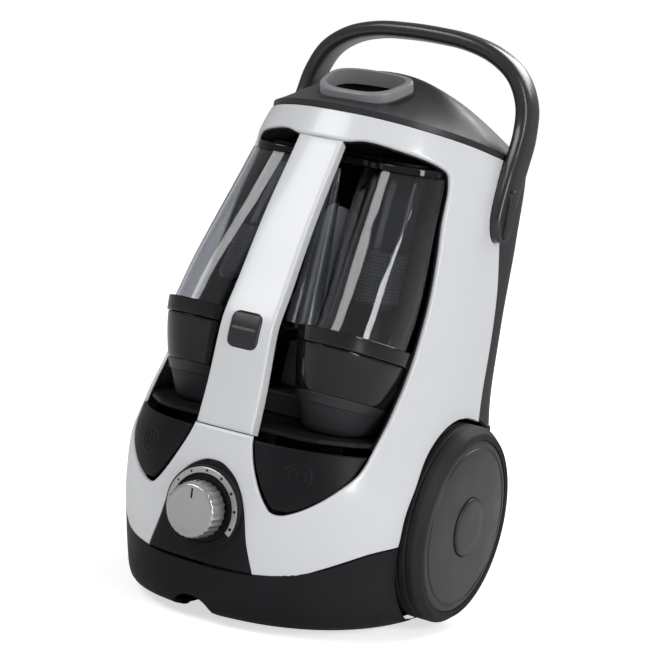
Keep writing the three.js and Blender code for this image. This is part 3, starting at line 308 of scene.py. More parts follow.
def rounded(points, radius, steps=5):
    """A closed profile whose corners off its axis are cut back by a quadratic arc of about a given radius."""
    p = np.asarray(points, float)
    t = np.linspace(0, 1, steps)[:, None]
    out = []
    for a, b, c in zip(np.roll(p, 1, 0), p, np.roll(p, -1, 0)):
        if b[0] < 1e-6:
            out.append(b[None])
            continue
        before, after = a - b, c - b
        r = min(radius, np.linalg.norm(before) / 2.2, np.linalg.norm(after) / 2.2)
        s, e = b + before * r / np.linalg.norm(before), b + after * r / np.linalg.norm(after)
        out.append((1 - t) ** 2 * s + 2 * t * (1 - t) * b + t * t * e)
    return np.vstack(out)


def peg(radius, low, high, axis, centre, sides=128, hole=0.0, edge=0.0):
    """A round peg along an axis, or a sleeve if it has a hole, whose corners may be rounded."""
    profile = [(hole, low), (radius, low), (radius, high), (hole, high)]
    return turned(rounded(profile, edge) if edge else profile, axis, centre, sides)


def extruded(outline, axis, low, high, edge=0.6):
    """An outline of two coordinates carried along an axis, whose two rims are quarter-round: each ring is the
    outline moved in along its own normal."""
    outline = np.asarray(outline, float)
    along = np.roll(outline, -1, 0) - np.roll(outline, 1, 0)
    area = np.sum(outline[:, 0] * np.roll(outline[:, 1], -1) - outline[:, 1] * np.roll(outline[:, 0], -1))
    normal = np.stack([along[:, 1], -along[:, 0]], -1) * math.copysign(1, area)
    normal /= np.maximum(np.linalg.norm(normal, axis=1, keepdims=True), 1e-9)
    a = np.linspace(0, math.pi / 2, 5)
    rims = [(low + edge * (1 - s), edge * (1 - c)) for s, c in zip(np.sin(a), np.cos(a))][::-1]
    rims += [(high - edge * (1 - s), edge * (1 - c)) for s, c in zip(np.sin(a), np.cos(a))]
    rings = []
    for t, inset in rims:
        flat = outline - normal * inset
        rings.append(np.insert(flat, "xyz".index(axis), t, axis=1))
    return loft(rings)


def stadium(u, v, half_u, half_v, radius, steps=8):
    """A rectangle's outline with corners of a given radius."""
    a = np.linspace(0, math.pi / 2, steps)
    quarter = np.concatenate([a + k * math.pi / 2 for k in range(4)])
    sign = np.repeat([(1, 1), (-1, 1), (-1, -1), (1, -1)], steps, 0)
    corner = sign * (half_u - radius, half_v - radius)
    return corner + radius * np.stack([np.cos(quarter), np.sin(quarter)], -1) + (u, v)


def block(x0, x1, y0, y1, z0, z1, edge=0.8, axis="z"):
    """A box with rounded edges."""
    low, high = np.array((x0, y0, z0), float), np.array((x1, y1, z1), float)
    k = "xyz".index(axis)
    u, v = [i for i in range(3) if i != k]
    middle, half = (low + high) / 2, (high - low) / 2
    outline = stadium(middle[u], middle[v], half[u], half[v], edge * 1.2, 5)
    return extruded(outline, axis, low[k], high[k], edge)


def flip_x(blocks):
    """The mirror images of blocks in the middle plane."""
    return [(vertices * (-1, 1, 1), faces) for vertices, faces in blocks]


def both_sides(blocks):
    return blocks + flip_x(blocks)


def raw_mesh(name, blocks):
    """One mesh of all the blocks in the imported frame, with doubles merged and every face turned outwards."""
    offsets = np.cumsum([0] + [len(vertices) for vertices, _ in blocks[:-1]])
    mesh = bpy.data.meshes.new(name)
    vertices = place(np.vstack([vertices for vertices, _ in blocks]))
    faces = np.vstack([faces + offset for (_, faces), offset in zip(blocks, offsets)])
    mesh.from_pydata(vertices, [], faces.tolist())
    shape = bmesh.new()
    shape.from_mesh(mesh)
    bmesh.ops.remove_doubles(shape, verts=shape.verts, dist=1e-6)
    bmesh.ops.dissolve_degenerate(shape, edges=shape.edges, dist=1e-7)
    bmesh.ops.recalc_face_normals(shape, faces=shape.faces)
    shape.to_mesh(mesh)
    shape.free()
    return mesh


def carve(name, blocks, *steps):
    """Joins, cuts or keeps the common part of solids in turn, and gives the mesh that is left. The first
    blocks are joined to each other, and each step is a word and its blocks."""
    linked = bpy.context.scene.collection.objects
    solid = bpy.data.objects.new(name, raw_mesh(name, blocks[:1]))
    linked.link(solid)
    helpers = []
    for word, cutters in [("UNION", blocks[1:]), *steps]:
        for cutter in cutters:
            helper = bpy.data.objects.new("helper", raw_mesh("helper", [cutter]))
            linked.link(helper)
            helpers.append(helper)
            change = solid.modifiers.new(word, "BOOLEAN")
            change.operation, change.object, change.solver = word, helper, "MANIFOLD"
    depsgraph = bpy.context.evaluated_depsgraph_get()
    mesh = bpy.data.meshes.new_from_object(solid.evaluated_get(depsgraph))
    for each in [solid, *helpers]:
        old = each.data
        bpy.data.objects.remove(each)
        bpy.data.meshes.remove(old)
    if not mesh.polygons:
        raise RuntimeError(f"{name} came out empty")
    return mesh


def piece(name, shape, finish, body, replaces=(), crease=32):
    """Makes a mesh, or a list of blocks, into one named piece that rides on a body."""
    mesh = raw_mesh(name, shape) if isinstance(shape, list) else shape
    mesh.name = name
    mesh.polygons.foreach_set("use_smooth", np.ones(len(mesh.polygons), bool))
    mesh.set_sharp_from_angle(angle=math.radians(crease))
    mesh.materials.clear()
    mesh.materials.append(finish)
    made = bpy.data.objects.new(name, mesh)
    bpy.context.scene.collection.objects.link(made)
    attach(made, body)
    if replaces:
        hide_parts(*replaces)
    return made


# ---- materials ----
def new_material(name):
    material = bpy.data.materials.new(name)
    material.use_nodes = True
    nodes, links = material.node_tree.nodes, material.node_tree.links
    return material, nodes, links, nodes["Principled BSDF"]


def noise(nodes, links, coordinates, scale, detail=3.0):
    texture = nodes.new("ShaderNodeTexNoise")
    texture.inputs["Scale"].default_value = scale
    texture.inputs["Detail"].default_value = detail
    links.new(coordinates, texture.inputs["Vector"])
    return texture.outputs["Fac"]


def ramp(nodes, links, source, low, high, steps):
    """A range of the source spread over a list of colours or grey values."""
    band = nodes.new("ShaderNodeValToRGB")
    links.new(source, band.inputs["Fac"])
    stops = band.color_ramp.elements
    stops[0].position, stops[1].position = low, high
    for stop, value in zip(stops, steps):
        stop.color = (*value, 1) if np.ndim(value) else (value, value, value, 1)
    return band.outputs["Color"]


def moulded(name, colour, rough, grain=0.0, coat=0.0, metallic=0.0, grain_scale=1400, mottle=0.06, polish=0.05,
            grain_depth=0.00012, shine=0.5):
    """Moulded plastic or plain metal: a colour that clouds a little, a roughness that wanders by the polish, and
    a fine grain from the tool."""
    material, nodes, links, shader = new_material(name)
    where = nodes.new("ShaderNodeTexCoord").outputs["Object"]
    cloud = noise(nodes, links, where, 14)
    dark = tuple(c * (1 - mottle) for c in colour)
    pale = tuple(min(c * (1 + mottle) + 0.002, 1) for c in colour)
    links.new(ramp(nodes, links, cloud, 0.35, 0.65, (dark, pale)), shader.inputs["Base Color"])
    smear = noise(nodes, links, where, 55, 4)
    links.new(ramp(nodes, links, smear, 0.3, 0.7, (max(rough - polish, 0.02), rough + polish)),
              shader.inputs["Roughness"])
    shader.inputs["Metallic"].default_value = metallic
    shader.inputs["Specular IOR Level"].default_value = shine
    shader.inputs["Coat Weight"].default_value = coat
    shader.inputs["Coat Roughness"].default_value = 0.06
    if grain:
        bump = nodes.new("ShaderNodeBump")
        bump.inputs["Strength"].default_value = grain
        bump.inputs["Distance"].default_value = grain_depth
        links.new(noise(nodes, links, where, grain_scale, 2), bump.inputs["Height"])
        links.new(bump.outputs["Normal"], shader.inputs["Normal"])
    return material


def clear_plastic(name, colour, rough):
    """Smoked see-through plastic whose polish has faint dust."""
    material, nodes, links, shader = new_material(name)
    where = nodes.new("ShaderNodeTexCoord").outputs["Object"]
    dust = noise(nodes, links, where, 90, 6)
    links.new(ramp(nodes, links, dust, 0.45, 0.75, (rough, rough + 0.05)), shader.inputs["Roughness"])
    links.new(ramp(nodes, links, noise(nodes, links, where, 8), 0.3, 0.7, (colour, tuple(c * 0.94 for c in colour))),
              shader.inputs["Base Color"])
    shader.inputs["Transmission Weight"].default_value = 1
    shader.inputs["IOR"].default_value = 1.46
    return material


def mesh_plastic(name, colour, hole, pitch, rough):
    """Perforated plastic: rows of dark round dots at a pitch, by height and by angle round each core."""
    material, nodes, links, shader = new_material(name)
    where = nodes.new("ShaderNodeTexCoord").outputs["UV"]
    cell = nodes.new("ShaderNodeVectorMath")
    cell.operation = "FRACTION"
    scale = nodes.new("ShaderNodeVectorMath")
    scale.operation = "SCALE"
    scale.inputs["Scale"].default_value = 1 / pitch
    links.new(where, scale.inputs[0])
    links.new(scale.outputs[0], cell.inputs[0])
    away = nodes.new("ShaderNodeVectorMath")
    away.operation = "DISTANCE"
    away.inputs[1].default_value = (0.5, 0.5, 0)
    links.new(cell.outputs[0], away.inputs[0])
    links.new(ramp(nodes, links, away.outputs["Value"], 0.26, 0.32, (hole, colour)), shader.inputs["Base Color"])
    links.new(ramp(nodes, links, away.outputs["Value"], 0.26, 0.32, (0.8, rough)), shader.inputs["Roughness"])
    bump = nodes.new("ShaderNodeBump")
    bump.inputs["Distance"].default_value = 0.0004
    links.new(away.outputs["Value"], bump.inputs["Height"])
    links.new(bump.outputs["Normal"], shader.inputs["Normal"])
    return material


def wound_wire(name, colour):
    """Enamelled wire: fine ridges round the motor's axis, drawn only as painted shade: darker bands between the
    turns.
    """
    material, nodes, links, shader = new_material(name)
    where = nodes.new("ShaderNodeTexCoord").outputs["Object"]
    wave = nodes.new("ShaderNodeTexWave")
    wave.wave_type, wave.bands_direction = "BANDS", "Y"
    wave.inputs["Scale"].default_value = 260
    links.new(where, wave.inputs["Vector"])
    # Painted shade: the copper's colour falls to 0.45 in the bands between the turns.
    dark = tuple(c * 0.45 for c in colour)
    links.new(ramp(nodes, links, wave.outputs["Fac"], 0.2, 0.8, (dark, colour)), shader.inputs["Base Color"])
    shader.inputs["Metallic"].default_value = 0.8
    shader.inputs["Roughness"].default_value = 0.35
    return material


def pleated(name, colour, scale):
    """Filter paper or foam: soft ridges or pores as a bump, with painted shade that darkens the colour in the pores'
    hollows.
    """
    material, nodes, links, shader = new_material(name)
    where = nodes.new("ShaderNodeTexCoord").outputs["Object"]
    pores = nodes.new("ShaderNodeTexVoronoi")
    pores.inputs["Scale"].default_value = scale
    links.new(where, pores.inputs["Vector"])
    # Painted shade: the colour falls to 0.6 where the bump is lowest, in the pores.
    dark = tuple(c * 0.6 for c in colour)
    links.new(ramp(nodes, links, pores.outputs["Distance"], 0.05, 0.6, (dark, colour)), shader.inputs["Base Color"])
    shader.inputs["Roughness"].default_value = 0.9
    bump = nodes.new("ShaderNodeBump")
    bump.inputs["Distance"].default_value = 0.0006
    links.new(pores.outputs["Distance"], bump.inputs["Height"])
    links.new(bump.outputs["Normal"], shader.inputs["Normal"])
    return material


FINISHES = {}


def dress(finish, *names):
    """Gives a finish to CAD nodes that stay in view."""
    for name in names:
        node = frame["nodes"][name]
        node.data.materials.clear()
        node.data.materials.append(FINISHES[finish])


# ---- what a user may change ----
def colour(name, description, value):
    return bpy.props.FloatVectorProperty(
        name=name, description=description, subtype="COLOR", size=3, min=0, max=1, default=value)


def size(name, description, value):
    return bpy.props.FloatProperty(name=name, description=description, default=value, min=0)


class CanisterColours(bpy.types.PropertyGroup):
    """Colours of the finishes."""
    white: colour("Shell", "Glossy moulded shell and centre bar", (0.74, 0.755, 0.775))
    charcoal: colour("Charcoal", "Satin casings, handle and wheel discs", (0.026, 0.027, 0.03))
    black: colour("Black", "Base, panel and inner parts", (0.012, 0.012, 0.014))
    gloss: colour("Gloss black", "Polished lower cups and band", (0.008, 0.008, 0.009))
    rubber: colour("Rubber", "Tyres and seals", (0.016, 0.016, 0.018))
    silver: colour("Silver", "Power knob and scale", (0.5, 0.5, 0.51))
    pale: colour("Inlet", "Ring round the hose socket", (0.27, 0.275, 0.285))
    smoke: colour("Smoked cups", "Tint of the dust cups", (0.47, 0.485, 0.51))
    core: colour("Core mesh", "Perforated lower part of the cyclones", (0.06, 0.06, 0.065))


class CanisterSizes(bpy.types.PropertyGroup):
    """Fine sizes of the finished surfaces, in millimetres."""
    window_lip: size("Window lip", "Rounding of the shell's edge round the dust cups", 2.4)
    shell_lip: size("Shell lip", "Rounding of the shells' other edges", 1.1)
    emblem: size("Emblem", "Radius of the ring embossed on a foot button", 9.5)
    emboss: size("Emboss", "Height of that ring", 0.45)
    flutes: bpy.props.IntProperty(name="Flutes", description="Grips round the power knob", default=26, min=6)
    flute_depth: size("Flute depth", "Depth of the knob's grips", 0.9)
    tread: size("Tread", "Depth of the tyres' two grooves", 0.8)
    scale_dots: bpy.props.IntProperty(name="Scale dots", description="Marks on the power scale", default=9, min=2)


def colours():
    return bpy.context.scene.canister_colours


def sizes():
    return bpy.context.scene.canister_sizes


class Step(bpy.types.Operator):
    """Base of the building steps."""
    bl_options = {"REGISTER", "UNDO"}

    def execute(self, context):
        self.build()
        return {"FINISHED"}


class CANISTER_OT_finishes(Step):
    """Makes every finish from the colours"""
    bl_idname = "canister.finishes"
    bl_label = "Finishes"

    def build(self):
        c = {name: tuple(getattr(colours(), name)) for name in CanisterColours.__annotations__}
        FINISHES.update(
            white=moulded("shell_white", c["white"], 0.26, 0.05, coat=0.25, grain_scale=420, mottle=0.006,
                          polish=0.012),
            charcoal=moulded("satin_charcoal", c["charcoal"], 0.36, 0.3, mottle=0.05, shine=0.4),
            handle=moulded("handle_black", c["charcoal"], 0.28, 0.1, coat=0.2, mottle=0.04, shine=0.45),
            satin=moulded("satin_tub", c["charcoal"], 0.5, 0.4, mottle=0.05, shine=0.25),
            black=moulded("satin_black", c["black"], 0.38, 0.3, mottle=0.1, shine=0.12),
            base=moulded("base_black", c["black"], 0.45, 0.4, mottle=0.1, shine=0.12),
            gloss=moulded("gloss_black", c["gloss"], 0.09, 0.02, coat=0.3, grain_scale=300, polish=0.03, shine=0.25),
            rubber=moulded("tyre_rubber", c["rubber"], 0.6, 0.6, grain_scale=900, mottle=0.16, shine=0.25),
            silver=moulded("silver_satin", c["silver"], 0.34, 0.15, metallic=0.8, grain_scale=2200, mottle=0.03),
            steel=moulded("plain_steel", (0.5, 0.5, 0.5), 0.28, 0.2, metallic=1.0, mottle=0.06),
            pale=moulded("inlet_grey", c["pale"], 0.3, 0.15, mottle=0.03),
            smoke=clear_plastic("smoked_clear", c["smoke"], 0.02),
            clear=clear_plastic("clear_cone", (0.86, 0.87, 0.89), 0.03),
            core=mesh_plastic("core_mesh", c["core"], (0.012, 0.012, 0.013), CORE_PITCH, 0.4),
            copper=wound_wire("copper_winding", (0.6, 0.25, 0.1)),
            foam=pleated("filter_foam", (0.1, 0.1, 0.11), 500),
            paper=pleated("filter_paper", (0.62, 0.61, 0.57), 160),
            board=moulded("board_green", (0.02, 0.12, 0.05), 0.35, 0.2, mottle=0.2),
        )


# ---- shells ----
def on_front(x, z):
    return float(turn_at_x(x, z)), z


def on_side(y, z):
    return float(turn_at_y(y, z)), z


def on_rim(y):
    return on_side(y, rim_height(y))


def on_arch(degrees):
    a = math.radians(degrees)
    return on_side(AXLE_Y - ARCH * math.cos(a), AXLE_Z + ARCH * math.sin(a))


def shell_edges():
    """Right half of the front shell, from the top middle round to the bottom middle: points of the cups'
    opening, and of the shell's outer edge across from them."""
    return [
        (on_front(0, 374), (math.pi / 2, rim_height(-104))), (on_front(21, 374), on_rim(-101.5)),
        (on_front(36, 376.3), on_rim(-96)), (on_front(60, 373), on_rim(-84)), (on_front(80, 367), on_rim(-60)),
        (on_front(88.5, 360.5), on_rim(-30)), (on_front(91, 352), on_rim(-2)), (on_front(92.5, 344), on_rim(16.5)),
        (on_front(93.5, 336), on_side(15, 360)), (on_front(95.5, 320), on_side(12, 344)),
        (on_front(98.5, 298), on_side(19, 308)), (on_front(102, 264), on_side(24, 263)),
        (on_front(105.5, 226), on_side(17, 223)), (on_front(106.2, 194), on_side(9, 191)),
        (on_front(106, 184), on_arch(109)), (on_front(105.9, 175), on_arch(100)), (on_front(105.7, 166), on_arch(91)),
        (on_front(105.2, 156), on_arch(81)), (on_front(104.4, 147), on_arch(70)),
        (on_front(103.2, 138.5), on_arch(59)), (on_front(101.5, 131), on_arch(48)),
        (on_front(98.7, 125.4), on_arch(38)), (on_front(95, 120), on_arch(28)), (on_front(90.6, 114.5), on_arch(18)),
        (on_front(86, 109.5), on_arch(8)), (on_front(77, 102), on_arch(-7.5)),
        (on_front(68, 96.5), on_side(-135, 70.3)),
        (on_front(60, 93.6), on_side(-167, 56.5)), (on_front(53, 94.5), on_front(75, 49.4)),
        (on_front(47.5, 100), on_front(47, 45.6)), (on_front(42, 108), on_front(39.5, 68)),
        (on_front(36, 119), on_front(33.5, 92)), (on_front(31, 130), on_front(28, 105)),
        (on_front(27.5, 140), on_front(20, 115)), (on_front(25.8, 147.2), on_front(10, 121.5)),
        (on_front(13, 147.2), on_front(5, 123)), (on_front(0, 147.2), on_front(0, 123.4)),
    ]


TURN_LENGTH = 110.0  # millimetres of skin to a radian of turn, so that both parameters weigh alike in a curve
RIM_CORNERS = [7, 14, 25, 29]
OPENING_CORNERS = [34]


def full_loop(points, corners, steps):
    """The curve through a right half's points in (turn, height), followed by its mirror image."""
    scaled = np.array(points) * (TURN_LENGTH, 1)
    half = runs_through(scaled, corners, steps) / (TURN_LENGTH, 1)
    mirrored = half[-2:0:-1] * (-1, 1) + (math.pi, 0)
    return np.vstack([half, mirrored])


def opening_and_rim(steps=6):
    opening, rim = zip(*shell_edges())
    return full_loop(opening, OPENING_CORNERS, steps), full_loop(rim, RIM_CORNERS, steps)


HANDLE_THICK, HANDLE_DEEP = 14.0, 29.0
HANDLE_FOOT = 310.0
HANDLE_TIP = 22.0  # length over which the handle's ends narrow to a round tip


def handle_rings(grow, steps=8, sides=40):
    """A superellipse of power 3, wide across and thin outwards, carried along the handle's line. Its width falls
    to a round tip at both ends."""
    line = np.vstack([(106, 9, HANDLE_FOOT - grow), HANDLE_LINE])
    line = np.vstack([line, line[::-1] * (-1, 1, 1)])
    path = curve_through(line, steps)
    along = np.gradient(path, axis=0)
    along /= np.linalg.norm(along, axis=1, keepdims=True)
    across = np.array((0.0, 1.0, 0.0)) - along * along[:, 1:2]
    across /= np.linalg.norm(across, axis=1, keepdims=True)
    out = np.cross(along, across)
    far = np.concatenate([[0], np.cumsum(np.linalg.norm(np.diff(path, axis=0), axis=1))])
    near_end = np.minimum(far, far[-1] - far)
    tip = np.sqrt(np.maximum(1 - np.maximum(0, 1 - near_end / HANDLE_TIP) ** 2, 0.03))[:, None, None]
    a = np.linspace(0, 2 * math.pi, sides, endpoint=False)
    c, s = np.cos(a), np.sin(a)
    reach = (np.abs(c) ** 3 + np.abs(s) ** 3) ** (-1 / 3)
    wide = (HANDLE_DEEP / 2 * tip + grow) * (s * reach)[None, :, None]
    thick = (HANDLE_THICK / 2 + grow) * (c * reach)[None, :, None]
    return path[:, None] + out[:, None] * thick + across[:, None] * wide


def handle_space():
    return [loft(handle_rings(SEAM, 4, 24))]


def skin_block(inset, z0, z1, steps=60, sides=160, edge=0.0):
    """A solid of the skin between two heights, drawn in by an inset and rounded at its foot by an edge."""
    rise = 1 - np.cos(np.linspace(0, math.pi / 2, 7))
    z = np.linspace(z0 + edge, z1, steps)
    if edge:
        z = np.concatenate([z0 + edge * rise, z[1:]])
    turn = np.linspace(0, 2 * math.pi, sides, endpoint=False)
    return loft(skin(turn[None], z[:, None], inset + lip(z - z0, edge)[:, None] if edge else inset))


class CANISTER_OT_front_shell(Step):
    """The white shell: a strip of skin between the cups' opening and the shell's outer edge"""
    bl_idname = "canister.front_shell"
    bl_label = "Front shell"

    def build(self):
        opening, rim = opening_and_rim()
        length = np.linalg.norm(bare_skin(*opening.T) - bare_skin(*rim.T), axis=1)
        first, last = sizes().window_lip, sizes().shell_lip
        t = edge_steps(length, first, last, 16)
        way = opening[:, None] + (rim - opening)[:, None] * t[..., None]
        distance = t * length[:, None]
        inset = lip(distance, first) + lip(length[:, None] - distance, last)
        outer = skin(way[..., 0], way[..., 1], inset)
        inner = skin(way[..., 0], way[..., 1], np.full_like(inset, WALL))
        mesh = carve("front_shell", [slab(outer, inner, True)], ("DIFFERENCE", handle_space()))
        piece("front_shell_surface", mesh, FINISHES["white"], "body", ["front_shell"])
        self.liner(opening)

    def liner(self, opening):
        """Painted shade for the gap inside the opening: the opening's line set back under the shell, as a narrow dark
        strip that shows just inside the shell's edge.
        """
        rows = np.array((-1.0, 3.2))
        middle = np.array((math.pi / 2, 250.0))
        toward = (middle - opening) * (TURN_LENGTH, 1)
        toward /= np.linalg.norm(toward, axis=1, keepdims=True)
        way = opening[:, None] - toward[:, None] * rows[None, ::-1, None] / (TURN_LENGTH, 1)
        t = np.linspace(0, 1, 6)[None, :, None]
        way = way[:, :1] + (way[:, 1:] - way[:, :1]) * t
        outer = skin(way[..., 0], way[..., 1], WALL + 0.1)
        inner = skin(way[..., 0], way[..., 1], WALL + 1.5)
        buttons = block(-150, 150, -260, 60, 60, 149, 0.5)
        mesh = carve("opening_liner", [slab(outer, inner, True)], ("DIFFERENCE", [buttons]))
        # The black strip is painted shade for the gap at the opening's edge, not a part of its own.
        piece("opening_liner", mesh, FINISHES["black"], "body")


class CANISTER_OT_back_shell(Step):
    """The charcoal rear casing, with its caster boss, filter grille and cord outlet"""
    bl_idname = "canister.back_shell"
    bl_label = "Rear casing"

    foot = 160.6

    def grid(self):
        """The skin's back from one parting line to the other, between the wheels' arches and the rim's plane."""
        u = np.concatenate([[0, 0.001, 0.003, 0.006], np.linspace(0.012, 0.988, 100), [0.994, 0.997, 0.999, 1]])
        s = np.concatenate([[0, 0.002, 0.005], np.linspace(0.01, 0.99, 70), [0.995, 0.998, 1]])[:, None]
        top = np.full((1, len(u)), rim_height(16.5))
        z = self.foot + (top - self.foot) * s
        for _ in range(3):
            edge = turn_at_y(track(PARTING, 1, z) + SEAM + 0.5, z)
            turn = edge + (-math.pi - 2 * edge) * u
            spot = bare_skin(turn, z)
            top = rim_height(bare_skin(turn[-1:], np.full((1, len(u)), 370.0))[..., 1])
            room = np.sqrt(np.maximum((ARCH + 3) ** 2 - (spot[:1, :, 1] - AXLE_Y) ** 2, 0))
            foot = np.where(np.abs(spot[:1, :, 0]) > WHEEL_IN - 13, np.maximum(self.foot, AXLE_Z + room), self.foot)
            z = foot + (top - foot) * s
        return turn, z, edge

    def build(self):
        turn, z, _ = self.grid()
        spot = bare_skin(turn, z)
        across = np.minimum(np.linalg.norm(spot - spot[:, :1], axis=-1), np.linalg.norm(spot - spot[:, -1:], axis=-1))
        up = np.minimum(z - z[:1], z[-1:] - z)
        edge = sizes().shell_lip
        inset = BACK_STEP + np.maximum(lip(across, edge), lip(up, edge))
        shell = slab(skin(turn, z, inset), skin(turn, z, np.full_like(z, BACK_STEP + WALL)))
        boss_y = track(BACK, 1, CASTER_Z) - BACK_STEP + 4
        centre = (0, 0, CASTER_Z)
        boss = peg(17, boss_y - 9, boss_y, "y", centre, edge=1.2)
        bore = peg(5.35, boss_y - 20, boss_y + 5, "y", centre)
        grille = extruded(stadium(0, GRILLE_Z, *(GRILLE_HALF + GAP), 2), "y", 20, 90, 0.1)
        outlet = peg(9, 20, 90, "y", CORD_HOLE)
        cuts = [bore, grille, outlet, *handle_space()]
        mesh = carve("back_shell", [shell], ("UNION", [boss]), ("DIFFERENCE", cuts))
        piece("back_shell_surface", mesh, FINISHES["charcoal"], "body", ["back_shell"])
        self.grille()

    def grille(self):
        face = float(track(BACK, 1, 172.0)) - BACK_STEP
        far = float(track(BACK, 1, GRILLE_Z)) - BACK_STEP - WALL - 0.7
        frame_block = extruded(stadium(0, GRILLE_Z, *GRILLE_HALF, 2), "y", far, face + 1.5, 0.9)
        count, half = 9, GRILLE_HALF[0]
        slots = [
            extruded(stadium(-half + (i + 0.5) / count * 2 * half, GRILLE_Z, 2.2, 11.7, 2.1), "y", 0, 90, 0.1)
            for i in range(count)]
        mesh = carve("exhaust_grille", [frame_block], ("DIFFERENCE", slots))
        piece("exhaust_grille_surface", mesh, FINISHES["charcoal"], "body", ["exhaust_grille"])
        out = float(track(BACK, 1, CORD_HOLE[2])) - BACK_STEP
        collar = peg(8.7, out - 9, out + 1.5, "y", CORD_HOLE, hole=4, edge=1.0)
        piece("cord_outlet_surface", [collar], FINISHES["black"], "body", ["cord_outlet"])


class CANISTER_OT_base(Step):
    """The black base: the skin below the shells as an open tub, with two wheel wells and a toe notch"""
    bl_idname = "canister.base"
    bl_label = "Base"

    edge_line = np.array([(-108.4, 75), (-135, 70.3), (-167, 56.5), (-187, 49.4), (-197, 45.6), (-230, 43.6)], float)
    well_x = 98.0
    top = 160.0

    def cylinder(self, radius, x0, x1, hole=0.0):
        return peg(radius, x0, x1, "x", (0, AXLE_Y, AXLE_Z), 144, hole)

    def build(self):
        tub = skin_block(0, 0, self.top, edge=3.0)
        hollow = skin_block(WALL, 4, self.top + 5, 40, 120)
        line = curve_through(self.edge_line, 6) - (0, SEAM + 0.6)
        outline = np.vstack([line, [(-230, 180), (AXLE_Y, 180), (AXLE_Y, AXLE_Z)]])
        front = extruded(outline, "x", -150, 150, 0.01)
        notch = peg(21, -240, -150, "y", (0, 0, -2), 64)
        arches = both_sides([self.cylinder(ARCH, self.well_x, 150)])
        mesh = carve("base", [tub], ("DIFFERENCE", [hollow, front, *arches, notch]))
        piece("base_surface", mesh, FINISHES["base"], "body", ["base_shell"])
        rim = self.cylinder(ARCH + 2.5, self.well_x - 2.5, 130, ARCH)
        wall = self.cylinder(ARCH + 1, self.well_x - 2.5, self.well_x, 6.3)
        boss = self.cylinder(13, 84, 97, 6.3)
        mesh = carve("wells", both_sides([rim]), ("UNION", both_sides([wall, boss])),
                     ("INTERSECT", [skin_block(WALL - 1, 1, self.top - 11, 30, 120)]))
        piece("wheel_wells", mesh, FINISHES["black"], "body")


class CANISTER_OT_top_cover(Step):
    """The dome: rings of the rim's outline drawn in to the middle, whose height is the crown's times
    (1 - r^2.1)^0.95, with a raised neck round the hose socket"""
    bl_idname = "canister.top_cover"
    bl_label = "Top cover"

    def dome(self, inset, drop, sides=160):
        turn = np.linspace(0, 2 * math.pi, sides, endpoint=False)
        guess = bare_skin(turn, rim_height(0))
        edge = skin(turn, np.minimum(rim_height(guess[:, 1]), BODY_HEIGHT), inset)
        rho = np.sin(np.linspace(math.pi / 2, 0.03, 46))[:, None]
        y = COVER_MIDDLE + (edge[:, 1] - COVER_MIDDLE) * rho
        x = edge[:, 0] * rho
        crown = track(CROWN, 1, y) - drop
        z = rim_height(y) + COVER_LIP - drop + crown * np.maximum(0, 1 - rho ** 2.1) ** 0.95
        rows = [np.stack([edge[:, 0], edge[:, 1], rim_height(edge[:, 1]) + 0.3 - (5 if drop else 0)], -1)]
        if not drop:
            low = rows[0] + (0, 0, 3.0)
            rows += [rows[0] + (0, 0, 0.6), low]
        return loft(np.concatenate([np.stack(rows), np.stack([x, y, z], -1)]))

    def build(self):
        ring = CANISTER_OT_inlet
        mesh = carve(
            "top_cover", [self.dome(0.6, 0)], ("DIFFERENCE", [self.dome(0.6 + WALL, WALL)]),
            ("UNION", [ring.prism(7.5, -14, -2)]),
            ("DIFFERENCE", [ring.prism(5.3, -40, 40), *handle_space()]))
        piece("top_cover_surface", mesh, FINISHES["charcoal"], "body", ["top_cover"], crease=40)


class CANISTER_OT_inlet(Step):
    """The pale ring round the hose socket: a superellipse of power 3, wider at the back, with a round lip"""
    bl_idname = "canister.inlet"
    bl_label = "Hose socket"

    @staticmethod
    def ring_line(grow, height, sides=96):
        a = np.linspace(0, 2 * math.pi, sides, endpoint=False)
        c, s = np.cos(a), np.sin(a)
        reach = (np.abs(c) ** 3 + np.abs(s) ** 3) ** (-1 / 3)
        half_x, half_y = INLET_HALF + grow
        y = half_y * s * reach
        flat = np.stack([half_x * c * reach * (1 + 0.12 * y / half_y), y, np.full(sides, float(height))], -1)
        tilt = np.array(Matrix.Rotation(INLET_TILT, 3, "X"))
        return flat @ tilt.T + INLET_CENTRE

    @classmethod
    def prism(cls, grow, low, high):
        return loft([cls.ring_line(grow, low), cls.ring_line(grow, high)])

    def build(self):
        profile = rounded([(0, -6), (5, -6), (5, 6), (0, 6)], 2.2, 7)
        rings = np.stack([self.ring_line(g, h) for g, h in profile])
        ring = (rings.reshape(-1, 3), quads(*rings.shape[:2], True, True))
        piece("inlet_ring_surface", [ring], FINISHES["pale"], "body", ["inlet_ring"])
        dress("black", "inlet_duct")


class CANISTER_OT_handle(Step):
    """The carrying handle: a superellipse of power 3 carried along its line"""
    bl_idname = "canister.handle"
    bl_label = "Carrying handle"

    def build(self):
        piece("handle_surface", [loft(handle_rings(0))], FINISHES["handle"], "body", ["handle"], 60)
        outline = stadium(10, 333, 6, 20, 5.9, 10)
        cap = extruded(outline, "x", 109.5, 115.5, 0.8)
        grown = [loft(handle_rings(0.25, 6, 32))]
        for name, blocks in (("right", [cap]), ("left", flip_x([cap]))):
            mesh = carve("cap", blocks, ("DIFFERENCE", grown))
            piece(f"handle_cap_{name}_surface", mesh, FINISHES["charcoal"], "body", [f"handle_cap_{name}"])


